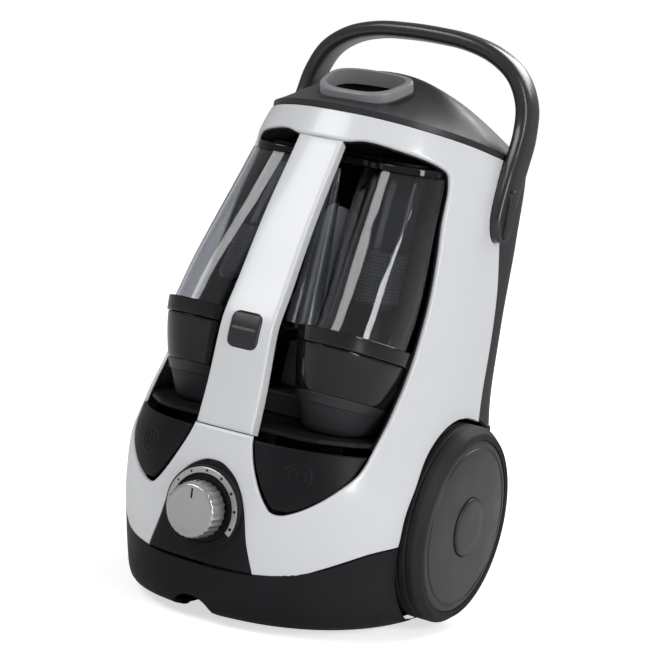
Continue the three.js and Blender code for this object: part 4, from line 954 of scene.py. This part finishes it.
# ---- wheels ----
class CANISTER_OT_wheels(Step):
    """Tyres, discs and hub caps: rounded profiles turned about the axle"""
    bl_idname = "canister.wheels"
    bl_label = "Wheels"

    def build(self):
        rim, out, inner, cap = WHEEL_RADIUS - 10, WHEEL_OUT, WHEEL_IN, 23.5
        groove = sizes().tread
        centre = (0, AXLE_Y, AXLE_Z)
        tread = [(WHEEL_RADIUS, inner + 4)]
        for x in (inner + 10, inner + 17):
            tread += [(WHEEL_RADIUS, x), (WHEEL_RADIUS - groove, x + 0.5), (WHEEL_RADIUS - groove, x + 1.7),
                      (WHEEL_RADIUS, x + 2.2)]
        tyre = [(rim + 0.3, inner), (WHEEL_RADIUS - 3, inner), *tread, (WHEEL_RADIUS, out - 6),
                (WHEEL_RADIUS - 5, out), (rim + 4, out), (rim + 3.2, out - 0.8), (rim + 2.2, out - 0.8),
                (rim + 1.4, out), (rim + 0.3, out - 0.4)]
        disc = [(6.35, inner + 4), (18, inner + 4), (18, out - 9), (rim - 4, out - 9), (rim - 4, inner + 2),
                (rim, inner + 2), (rim, out - 1.2), (rim - 2, out - 0.4), (rim - 4.5, out - 0.1),
                (rim - 5.2, out - 1.1),
                (rim - 6.4, out - 1.1), (rim - 7.2, out + 0.1), (46, out + 1.0), (cap + 1.6, out + 1.8),
                (cap + 0.3, out + 1.2), (cap + 0.3, out - 4), (6.35, out - 4)]
        hub = [(0, out - 2), (10, out - 2), (10, out - 3.6), (cap, out - 3.6), (cap, out + 2.6),
               (cap - 1.6, out + 3.6), (cap - 9, out + 4), (0, out + 4)]
        for name, profile, finish, radius, slot in (
                ("tyre", tyre, "rubber", 0.9, "tyre_rubber"), ("wheel", disc, "charcoal", 0.5, "charcoal"),
                ("hub_cap", hub, "charcoal", 0.7, "charcoal")):
            made = [turned(rounded(profile, radius, 5), "x", centre, 168)]
            piece(f"{name}_right_surface", made, FINISHES[finish], "wheel_r", [f"{name}_right"])
            piece(f"{name}_left_surface", flip_x(made), FINISHES[finish], "wheel_l", [f"{name}_left"])
        dress("steel", "axle_left", "axle_right")


class CANISTER_OT_caster(Step):
    """The rear swivel caster"""
    bl_idname = "canister.caster"
    bl_label = "Rear caster"

    def build(self):
        z, half = CASTER_Z, 7.0
        seat = float(track(BACK, 1, z)) - BACK_STEP + 4.3
        y, wheel_z = seat + CASTER_REACH, z - 7
        plate = peg(13, seat, seat + 3, "y", (0, 0, z), edge=0.8)
        stem = peg(5, seat - 14, seat + 2, "y", (0, 0, z), 48, edge=0.8)
        a = np.linspace(-math.pi / 2, math.pi / 2, 24)
        side = np.vstack([np.stack([y + 8 * np.cos(a), wheel_z + 8 * np.sin(a)], -1), [(seat + 1, wheel_z + 12),
                          (seat + 1, wheel_z - 8)]])
        cheeks = both_sides([extruded(side, "x", half + 1, half + 4, 0.7)])
        pin = peg(2.3, -20, 20, "x", (0, y, wheel_z), 32)
        mesh = carve("caster_fork", [plate, stem, *cheeks], ("DIFFERENCE", [pin]))
        piece("caster_fork_surface", mesh, FINISHES["charcoal"], "caster", ["caster_fork"])
        roller = [(2.35, -half), (12, -half), (12, -1), (11.4, 0), (12, 1), (12, half), (2.35, half)]
        made = [turned(rounded(roller, 1.4), "x", (0, y, wheel_z), 72)]
        piece("caster_wheel_surface", made, FINISHES["rubber"], "caster_roller", ["caster_wheel"])
        dress("steel", "caster_pin")


# ---- dust bin ----
def oval(z, grow, table=CUP, sides=96):
    """The right cup's or tub's ellipse at a height, grown by a distance. Its plane leans: a point falls by a
    fifth of its distance behind the middle, less towards the flat foot and towards the top."""
    z = np.asarray(z, float)[:, None]
    grow = np.asarray(grow, float)
    grow = grow[:, None] if grow.ndim else grow
    x, y, a, b = (track(table, k, z) for k in (1, 2, 3, 4))
    t = np.linspace(0, 2 * math.pi, sides, endpoint=False)
    back = (b + grow) * np.sin(t)
    lean = np.interp(z, (table[0, 0], 170, 228, 320), (0, 0.2, 0.2, 0))
    return np.stack([x + (a + grow) * np.cos(t), y + back, z - lean * back], -1)


def oval_block(z0, z1, grow, edge=0.0, steps=12, foot_edge=None, table=CUP):
    """A solid between two heights of an oval, with quarter-round rims."""
    foot_edge = edge if foot_edge is None else foot_edge
    rise = 1 - np.cos(np.linspace(0, math.pi / 2, 6))
    z = np.concatenate([z0 + foot_edge * rise, np.linspace(z0 + foot_edge, z1 - edge, steps + 2)[1:-1],
                        z1 - edge * rise[::-1]])
    return loft(oval(z, grow - np.maximum(lip(z - z0, foot_edge), lip(z1 - z, edge)), table))


def oval_wall(z0, z1, outer, inner, edge=0.5, steps=24, table=CUP):
    """A ring of an oval between two growths, with rounded rims."""
    z = np.linspace(z0, z1, steps)
    out, back = (np.stack([np.full(steps, grow), way], -1) for grow, way in ((outer, z), (inner, z[::-1])))
    profile = rounded(np.vstack([out, back]), edge, 4)
    rings = oval(profile[:, 1], profile[:, 0], table)
    return rings.reshape(-1, 3), quads(*rings.shape[:2], True, True)


class CANISTER_OT_bin(Step):
    """The dust bin: two see-through cups on a band and tubs, with their cyclones, lid and cone"""
    bl_idname = "canister.dust_bin"
    bl_label = "Dust bin"

    def build(self):
        cup = [oval_wall(BAND_LOW + 2, CUP_TOP, 0, -CUP_WALL)]
        for name, made in (("right", cup), ("left", flip_x(cup))):
            piece(f"dust_cup_{name}_surface", made, FINISHES["smoke"], "bin", [f"dust_cup_{name}"])
        self.cyclones()
        self.band_and_tubs()
        self.lid()
        self.cone()

    def cyclones(self):
        """The core's radius against height, following the cup's leaning axis; the lower part is the mesh."""
        z = np.array([250, 251.5, 254, 275, 294, 295, 296, 300, 325, 354.5])
        r = np.array([14, 15.4, 16.2, 17, 17.7, 18.4, 20, 20.2, 21, 22])
        core = [loft(self.rings(z, r))]
        zm = np.linspace(255, 293.4, 16)
        rm = np.interp(zm, z, r) + 0.5
        rows = np.concatenate([self.rings(zm, rm), self.rings(zm, rm - 0.3)[::-1]])
        mesh_sleeve = (rows.reshape(-1, 3), quads(*rows.shape[:2], True, True))
        for name, way in (("right", 1), ("left", -1)):
            body, cover = (core, [mesh_sleeve]) if way > 0 else (flip_x(core), flip_x([mesh_sleeve]))
            piece(f"cyclone_{name}_surface", body, FINISHES["gloss"], "bin", [f"cyclone_{name}"])
            made = piece(f"cyclone_mesh_{name}", cover, FINISHES["core"], "bin")
            self.unwrap(made, way)

    @staticmethod
    def rings(z, r, sides=96):
        """Circles of each radius about the cup's axis at each height."""
        t = np.linspace(0, 2 * math.pi, sides, endpoint=False)
        x, y = track(CUP, 1, z)[:, None], track(CUP, 2, z)[:, None]
        high = np.broadcast_to(z[:, None], (len(z), sides))
        return np.stack([x + r[:, None] * np.cos(t), y + r[:, None] * np.sin(t), high], -1)

    def unwrap(self, made, way):
        """Angle round the core times its radius, and height, as a UV in metres."""
        mesh = made.data
        uv = mesh.uv_layers.new(name="UVMap")
        corners = np.empty(len(mesh.loops), np.int32)
        mesh.loops.foreach_get("vertex_index", corners)
        points = np.empty(len(mesh.vertices) * 3, np.float32)
        mesh.vertices.foreach_get("co", points)
        points = points.reshape(-1, 3)[corners] / MM - (0, SHIFT_Y, 0)
        z = points[:, 2]
        angle = np.arctan2(points[:, 1] - track(CUP, 2, z), points[:, 0] * way - track(CUP, 1, z))
        columns = round(2 * math.pi * 17 * MM / CORE_PITCH)
        # Faces that cross the seam keep their corners on one side of it.
        counts = np.empty(len(mesh.polygons), np.int32)
        mesh.polygons.foreach_get("loop_total", counts)
        face = np.repeat(np.arange(len(counts)), counts)
        highest = np.full(len(counts), -10.0)
        np.maximum.at(highest, face, angle)
        angle = np.where(highest[face] - angle > math.pi, angle + 2 * math.pi, angle)
        flat = np.stack([angle / (2 * math.pi) * columns * CORE_PITCH, z * MM], -1)
        uv.data.foreach_set("uv", flat.astype(np.float32).ravel())

    def band_and_tubs(self):
        """The band's rim hides the foot of each cup. Below it each tub is glossy down to a ring, and satin where
        it tapers to its foot."""
        low, high = 211.5, 223.5
        bands = both_sides([oval_wall(low, high, 1.2, -14, 1.2, 8, TUB)])
        beam = block(-31, 31, -108, -88, BAND_LOW + 1, high, 0.8)
        back = float(skin(math.pi / 2, 220.0, 12.0)[1])
        arm = block(-9, 9, back + 0.3, -100, BAND_LOW + 1, high, 0.8)
        bores = both_sides([oval_block(low + 1.5, high + 20, 0.5)])
        mesh = carve("bin_frame", [*bands, beam, arm], ("DIFFERENCE", bores))
        piece("bin_frame_surface", mesh, FINISHES["gloss"], "bin", ["bin_frame"])
        ring = 175.0
        foot = TUB[0, 0]
        tubs = both_sides([oval_block(ring + 0.2, low - 0.4, 0, 1.0, 20, 0.4, TUB)])
        hollow = both_sides([oval_block(foot + 3, low + 3, -2.8, table=TUB)])
        mesh = carve("bin_tubs", tubs, ("DIFFERENCE", hollow))
        piece("bin_base_surface", mesh, FINISHES["gloss"], "bin", ["bin_base"])
        belt = both_sides([oval_block(ring - 7, ring, 0.5, 0.7, 4, 0.5, TUB)])
        feet = both_sides([oval_block(foot, ring - 6, -0.3, 0.3, 12, 4, TUB)])
        bridge = block(-36, 36, -114, -42, foot, foot + 18, 1.5)
        for name, parts, finish in (("bin_belt", belt, "charcoal"), ("bin_feet", [*feet, bridge], "satin")):
            piece(name, carve(name, parts, ("DIFFERENCE", hollow)), FINISHES[finish], "bin")

    def lid(self):
        top = CUP_TOP + 6
        lids = both_sides([oval_block(CUP_TOP + 0.3, top, -3, 1.4, 3, 0.4)])
        deck = block(-30, 30, -84, -18, CUP_TOP + 0.3, top, 1.2)
        port = peg(11, CUP_TOP - 5, CUP_TOP + 20, "z", (0, -53, 0), 64)
        mesh = carve("bin_lid", [*lids, deck], ("DIFFERENCE", [port]))
        piece("bin_lid_surface", mesh, FINISHES["gloss"], "bin", ["bin_lid"])
        dress("rubber", "lid_seal")

    def cone(self):
        """The clear cone's middle moves back by 19 mm on its way up, and the plate behind it leans by a tenth of
        a radian."""
        low, high = BAND_HIGH - 1.7, CONE_TOP
        profile = rounded([(14.5, low), (5, high), (3.4, high), (13, low)], 0.5, 4)
        vertices, faces = turned(profile, "z", (0, 0, 0), 96)
        vertices[:, 1] += CONE_Y + CONE_LEAN * (vertices[:, 2] - low) / (high - low)
        piece("cone_surface", [(vertices, faces)], FINISHES["clear"], "bin", ["cone"])
        a = np.linspace(0, math.pi, 24)
        foot = CUP[0, 0] + 18.3
        head = np.stack([16 * np.cos(a), PLATE_SHOULDER - foot + 16 * np.sin(a)], -1)
        vertices, faces = extruded(np.vstack([[(-20, 0), (20, 0)], head]), "y", -3, 0, 0.6)
        turn = np.array(Matrix.Rotation(-PLATE_LEAN, 3, "X"))
        piece("cone_plate_surface", [(vertices @ turn.T + (0, PLATE_Y, foot + GAP), faces)], FINISHES["pale"],
              "bin", ["cone_plate"])


# ---- bar, button, panel, knob, pads ----
def patch(rows_z, half_low, half_high, edge, thick, raise_by=0.0, columns=20, hump=None):
    """A patch of skin between two x lines at each height, with rounded edges and its own thickness; hump adds a
    height above the skin over the grid."""
    z0, z1 = rows_z[0], rows_z[-1]
    rise = edge * (1 - np.cos(np.linspace(0, math.pi / 2, 5)))
    z = np.concatenate([z0 + rise, np.linspace(z0 + edge, z1 - edge, 40)[1:-1], z1 - rise[::-1]])
    low, high = half_low(z), half_high(z)
    length = high - low
    t = edge_steps(length, min(edge, length.min() / 2.5), min(edge, length.min() / 2.5), columns)
    x = low[:, None] + length[:, None] * t
    zz = np.broadcast_to(z[:, None], x.shape)
    near = np.minimum(np.minimum(x - low[:, None], high[:, None] - x), np.minimum(zz - z0, z1 - zz))
    inset = lip(near, edge) - raise_by
    if hump is not None:
        inset = inset - hump(x, zz)
    turn = turn_at_x(x, zz)
    return slab(skin(turn, zz, inset), skin(turn, zz, np.full_like(x, thick)))


def bar_half(z):
    return 24.9 - 5.4 * (z - BAR_LOW) / (BAR_HIGH - BAR_LOW)


class CANISTER_OT_bar(Step):
    """The white centre bar and its release button"""
    bl_idname = "canister.bar"
    bl_label = "Centre bar"

    def build(self):
        bar = patch((BAR_LOW, BAR_HIGH), lambda z: -bar_half(z), bar_half, 2.2, 12)
        window = extruded(stadium(0, BUTTON_Z, *(BUTTON_HALF + 0.5), 6.4), "y", -240, 0, 0.1)
        mesh = carve("centre_bar", [bar], ("DIFFERENCE", [window]))
        piece("centre_bar_surface", mesh, FINISHES["white"], "bin", ["centre_bar"])
        wide, high = BUTTON_HALF

        def crease(x, z):
            fall = 0.9 * np.exp(-((z - BUTTON_Z - 2) / 1.0) ** 2)
            swell = 0.5 * (1 - ((z - BUTTON_Z) / high) ** 2)
            return swell - fall * (np.abs(x) < 10.5)

        cap = patch((BUTTON_Z - high, BUTTON_Z + high), lambda z: np.full_like(z, -wide),
                    lambda z: np.full_like(z, wide), 2.2, 5, 1.0, 20, crease)
        mask = extruded(stadium(0, BUTTON_Z, wide, high, 6), "y", -240, 0, 0.1)
        front = float(skin(math.pi / 2, BUTTON_Z, 0.0)[1])
        stem = peg(3, front + 4, front + 8, "y", (0, 0, BUTTON_Z), 32)
        mesh = carve("release_button", [cap], ("INTERSECT", [mask]), ("UNION", [stem]))
        piece("release_button_surface", mesh, FINISHES["charcoal"], "release", ["release_button"])
        dress("black", "release_latch")
        dress("steel", "release_spring")


class CANISTER_OT_panel(Step):
    """The black control panel with its dial, knob and scale"""
    bl_idname = "canister.panel"
    bl_label = "Control panel"

    edge = np.array([(46.2, 46.2), (68, 38.9), (92, 32.9), (105, 27.4), (115, 19.4), (121, 9.4), (122.6, 2)], float)

    def build(self):
        half = lambda z: track(self.edge, 1, z)
        panel = patch((46.2, 122.6), lambda z: -half(z), half, 0.7, WALL)
        centre = (0, 0, KNOB_Z)
        dish = np.array([(0, 5), (33, 5), (33, 0), (32, -0.6), (26.2, -0.1), (25.4, 0.9), (0, 1.1)])
        dial = turned(rounded(dish + (0, KNOB_SEAT), 0.5), "y", centre, 128)
        bore = peg(4.35, -230, -180, "y", centre, 48)
        mesh = carve("control_panel", [panel, dial], ("DIFFERENCE", [bore]))
        piece("control_panel_surface", mesh, FINISHES["black"], "body", ["control_panel"])
        self.scale()
        self.knob()
        dress("steel", "potentiometer")
        dress("board", "circuit_board")

    def scale(self):
        """A flat arc of 240 degrees with small round marks standing on it."""
        a = np.radians(np.linspace(-30, 210, 97))
        profile = np.array([(26.8, -0.3), (31.4, -0.3), (31.4, -1.0), (31.0, -1.3), (27.2, -1.3), (26.8, -1.0)])
        profile += (0, KNOB_SEAT)
        rings = np.stack([profile[:, 0] * np.cos(a)[:, None], np.broadcast_to(profile[:, 1], (len(a), len(profile))),
                          KNOB_Z + profile[:, 0] * np.sin(a)[:, None]], -1)
        piece("scale_ring_surface", [loft(rings)], FINISHES["silver"], "body", ["scale_ring"])
        marks = []
        count = sizes().scale_dots
        for i, angle in enumerate(np.radians(np.linspace(-20, 200, count))):
            r = 0.7 + 0.6 * (1 - i / (count - 1))
            spot = (29.1 * math.cos(angle), 0, KNOB_Z + 29.1 * math.sin(angle))
            marks.append(peg(r, KNOB_SEAT - 1.0, KNOB_SEAT - 1.42, "y", spot, 20))
        piece("scale_marks", marks, FINISHES["black"], "body")

    def knob(self):
        """Rings up the knob's height, whose radius dips in a rounded flute at each grip and turns in at the
        face, which is shallowly dished."""
        face = KNOB_SEAT - 1.6
        sides = sizes().flutes * 10
        a = np.linspace(0, 2 * math.pi, sides, endpoint=False)
        dip = sizes().flute_depth * (0.5 + 0.5 * np.cos(a * sizes().flutes)) ** 0.6
        up = np.array([0, 0.8, 3, 8, 12, 14.2, 15.2, 16.0, 16.6, 16.9, 17.0, 16.8, 16.5, 16.4])
        radius = np.array([21.4, 21.9, 22, 21.7, 21.4, 21.2, 20.9, 20.4, 19.7, 18.8, 17.8, 16.6, 12.0, 4.0])
        fade = np.array([1, 1, 1, 1, 1, 0.9, 0.6, 0.3, 0.1, 0, 0, 0, 0, 0])
        r = radius[:, None] - dip * fade[:, None]
        rings = np.stack([r * np.cos(a), np.broadcast_to((face - up)[:, None], r.shape), KNOB_Z + r * np.sin(a)], -1)
        grip = loft(rings)
        shaft = peg(4, face - 1, KNOB_SEAT + 9, "y", (0, 0, KNOB_Z), 48)
        slot_cut = extruded(stadium(0, KNOB_Z + 13.5, 0.8, 4.0, 0.78), "y", face - 20, face - 15.7, 0.1)
        mesh = carve("power_knob", [grip, shaft], ("DIFFERENCE", [slot_cut]))
        piece("power_knob_surface", mesh, FINISHES["silver"], "knob", ["power_knob"])
        line = extruded(stadium(0, KNOB_Z + 13.5, 0.7, 3.9, 0.68), "y", face - 16.5, face - 15.8, 0.1)
        piece("knob_pointer", [line], FINISHES["black"], "knob")


class CANISTER_OT_foot_buttons(Step):
    """The two foot buttons, each with an embossed ring and bar"""
    bl_idname = "canister.foot_buttons"
    bl_label = "Foot buttons"

    edge = np.array([
        (97, 55, 65), (101, 50.5, 73), (109, 44.5, 84), (119, 38.5, 93.5), (130, 33, 99.8), (144.5, 28, 102.8),
    ], float)
    middle = (66.0, 124.0)

    def emboss(self, x, z):
        """Two rings and a short bar raised above the face."""
        away = np.hypot(x - self.middle[0], z - self.middle[1])
        ring = np.exp(-((away - sizes().emblem) / 0.7) ** 2) + np.exp(-((away - sizes().emblem * 0.62) / 0.6) ** 2)
        bar = np.exp(-((x - self.middle[0]) / 0.7) ** 2) * (np.abs(z - self.middle[1] - 3) < 3.5)
        return sizes().emboss * np.clip(ring + bar, 0, 1)

    def build(self):
        low = lambda z: track(self.edge, 1, z)
        high = lambda z: track(self.edge, 2, z)
        z0, z1 = 97.0, 144.5
        edge = 1.4
        rise = edge * (1 - np.cos(np.linspace(0, math.pi / 2, 5)))
        z = np.concatenate([z0 + rise, np.linspace(z0 + edge, z1 - edge, 92)[1:-1], z1 - rise[::-1]])
        length = high(z) - low(z)
        t = edge_steps(length, edge, edge, 96)
        x = low(z)[:, None] + length[:, None] * t
        zz = np.broadcast_to(z[:, None], x.shape)
        near = np.minimum(np.minimum(x - low(z)[:, None], high(z)[:, None] - x), np.minimum(zz - z0, z1 - zz))
        inset = 0.8 + lip(near, edge) - self.emboss(x, zz)
        turn = turn_at_x(x, zz)
        pad = [slab(skin(turn, zz, inset), skin(turn, zz, np.full_like(x, 3.8)))]
        face = skin(turn_at_x(66, 123.0), 123.0, 0.8)
        vertices, faces = peg(4, 2, 20.7, "y", (0, 0, 0), 40)
        turn = np.array(Matrix.Rotation(math.atan2(*PRESS_WAY), 3, "Z"))
        pad.append((vertices @ turn.T + face, faces))
        for name, made in (("power_button", pad), ("rewind_button", flip_x(pad))):
            body = "power_pad" if name == "power_button" else "rewind_pad"
            piece(f"{name}_surface", made, FINISHES["black"], body, [name])
            dress("steel", f"{name}_spring")
        dress("black", "power_switch", "rewind_lever")


class CANISTER_OT_inside(Step):
    """Finishes of the pieces inside the casing"""
    bl_idname = "canister.inside"
    bl_label = "Inner parts"

    def build(self):
        dress("black", "bin_bay", "motor_housing")
        dress("rubber", "motor_seal", "reel_brake")
        dress("foam", "motor_filter")
        dress("copper", "motor_stator")
        dress("steel", "motor_rotor", "impeller", "reel_bracket")
        dress("charcoal", "cord_reel")
        dress("paper", "exhaust_filter")


# ---- stage ----
def seen_directly(nodes, links):
    """One for camera rays and for rays through clear plastic, nought for all others."""
    path = nodes.new("ShaderNodeLightPath")
    either = nodes.new("ShaderNodeMath")
    either.operation = "MAXIMUM"
    links.new(path.outputs["Is Camera Ray"], either.inputs[0])
    links.new(path.outputs["Is Transmission Ray"], either.inputs[1])
    return either.outputs[0]


def between(nodes, links, source, low, high, near=0.0, far=1.0):
    spread = nodes.new("ShaderNodeMapRange")
    for socket, value in (("From Min", near), ("From Max", far), ("To Min", low), ("To Max", high)):
        spread.inputs[socket].default_value = value
    links.new(source, spread.inputs["Value"])
    return spread.outputs["Result"]


def stage_material(name, tone, glow):
    """A pale surface that the camera sees brighter than it lights the object, and white away from its middle."""
    material, nodes, links, shader = new_material(name)
    shader.inputs["Base Color"].default_value = (tone, tone, tone, 1)
    shader.inputs["Roughness"].default_value = 0.9
    shader.inputs["Specular IOR Level"].default_value = 0.0
    shader.inputs["Emission Color"].default_value = (1, 1, 1, 1)
    away = nodes.new("ShaderNodeVectorMath")
    away.operation = "LENGTH"
    links.new(nodes.new("ShaderNodeTexCoord").outputs["Object"], away.inputs[0])
    strength = nodes.new("ShaderNodeMath")
    strength.operation = "MULTIPLY"
    links.new(between(nodes, links, away.outputs["Value"], glow, 1.0, 0.3, 1.1), strength.inputs[0])
    links.new(seen_directly(nodes, links), strength.inputs[1])
    links.new(strength.outputs[0], shader.inputs["Emission Strength"])
    return material


def soft_light(name, where, target, width, height, power):
    light = bpy.data.lights.new(name, "AREA")
    light.shape, light.size, light.size_y, light.energy = "RECTANGLE", width, height, power
    lamp = bpy.data.objects.new(name, light)
    bpy.context.scene.collection.objects.link(lamp)
    lamp.location = where
    away = Matrix.Translation(where).to_translation() - Matrix.Translation(target).to_translation()
    lamp.rotation_euler = away.to_track_quat("Z", "Y").to_euler()


class CANISTER_OT_stage(Step):
    """Pale floor, soft studio lamps, world and camera"""
    bl_idname = "canister.stage"
    bl_label = "Stage"

    def build(self):
        scene = bpy.context.scene
        scene.view_settings.view_transform = "Standard"
        reach = 6.0
        x, y = np.meshgrid(np.linspace(-reach, reach, 9), np.linspace(-reach, reach, 9), indexing="ij")
        points = np.stack([x, y, np.full_like(x, -0.0005)], -1).reshape(-1, 3)
        mesh = bpy.data.meshes.new("floor")
        mesh.from_pydata(points, [], quads(9, 9)[:, ::-1].tolist())
        mesh.materials.append(stage_material("floor_white", 0.8, 0.64))
        floor = bpy.data.objects.new("floor", mesh)
        scene.collection.objects.link(floor)

        world = bpy.data.worlds.new("studio")
        world.use_nodes = True
        nodes, links = world.node_tree.nodes, world.node_tree.links
        strength = between(nodes, links, seen_directly(nodes, links), 0.26, 1.0)
        links.new(strength, nodes["Background"].inputs["Strength"])
        nodes["Background"].inputs["Color"].default_value = (1, 1, 1, 1)
        scene.world = world

        middle = (0, 0, 0.22)
        soft_light("key", (-0.9, -1.5, 1.7), middle, 1.1, 1.1, 21)
        soft_light("side", (1.7, -0.5, 0.8), middle, 0.35, 1.5, 17)
        soft_light("back", (0.3, 1.5, 1.4), middle, 1.2, 0.8, 16)

        camera = bpy.data.cameras.new("camera")
        camera.lens, camera.sensor_width = 117.89, 36
        view = bpy.data.objects.new("camera", camera)
        scene.collection.objects.link(view)
        view.matrix_world = Matrix((
            (0.8598, -0.1957, 0.4716, 0.8170), (0.4856, 0.0280, -0.8737, -1.51176),
            (0.1578, 0.9803, 0.1192, 0.4266), (0, 0, 0, 1)))
        scene.camera = view


STEPS = (
    CANISTER_OT_finishes, CANISTER_OT_front_shell, CANISTER_OT_back_shell, CANISTER_OT_base, CANISTER_OT_top_cover,
    CANISTER_OT_inlet, CANISTER_OT_handle, CANISTER_OT_wheels, CANISTER_OT_caster, CANISTER_OT_bin, CANISTER_OT_bar,
    CANISTER_OT_panel, CANISTER_OT_foot_buttons, CANISTER_OT_inside, CANISTER_OT_stage,
)


class CANISTER_PT_panel(bpy.types.Panel):
    """Lists the building steps, sizes and colours"""
    bl_idname = "CANISTER_PT_panel"
    bl_label = "Canister vacuum cleaner"
    bl_space_type = "VIEW_3D"
    bl_region_type = "UI"
    bl_category = "Canister"

    def draw(self, context):
        for step in STEPS:
            self.layout.operator(step.bl_idname)
        for group in (context.scene.canister_sizes, context.scene.canister_colours):
            for name in group.__annotations__:
                self.layout.prop(group, name)


CLASSES = (CanisterColours, CanisterSizes, *STEPS, CANISTER_PT_panel)


def register():
    for each in CLASSES:
        bpy.utils.register_class(each)
    bpy.types.Scene.canister_colours = bpy.props.PointerProperty(type=CanisterColours)
    bpy.types.Scene.canister_sizes = bpy.props.PointerProperty(type=CanisterSizes)


def unregister():
    del bpy.types.Scene.canister_sizes
    del bpy.types.Scene.canister_colours
    for each in reversed(CLASSES):
        bpy.utils.unregister_class(each)


def main():
    register()
    for step in STEPS:
        word = step.bl_idname.split(".")[1]
        getattr(bpy.ops.canister, word)()


if __name__ == "__main__":
    main()
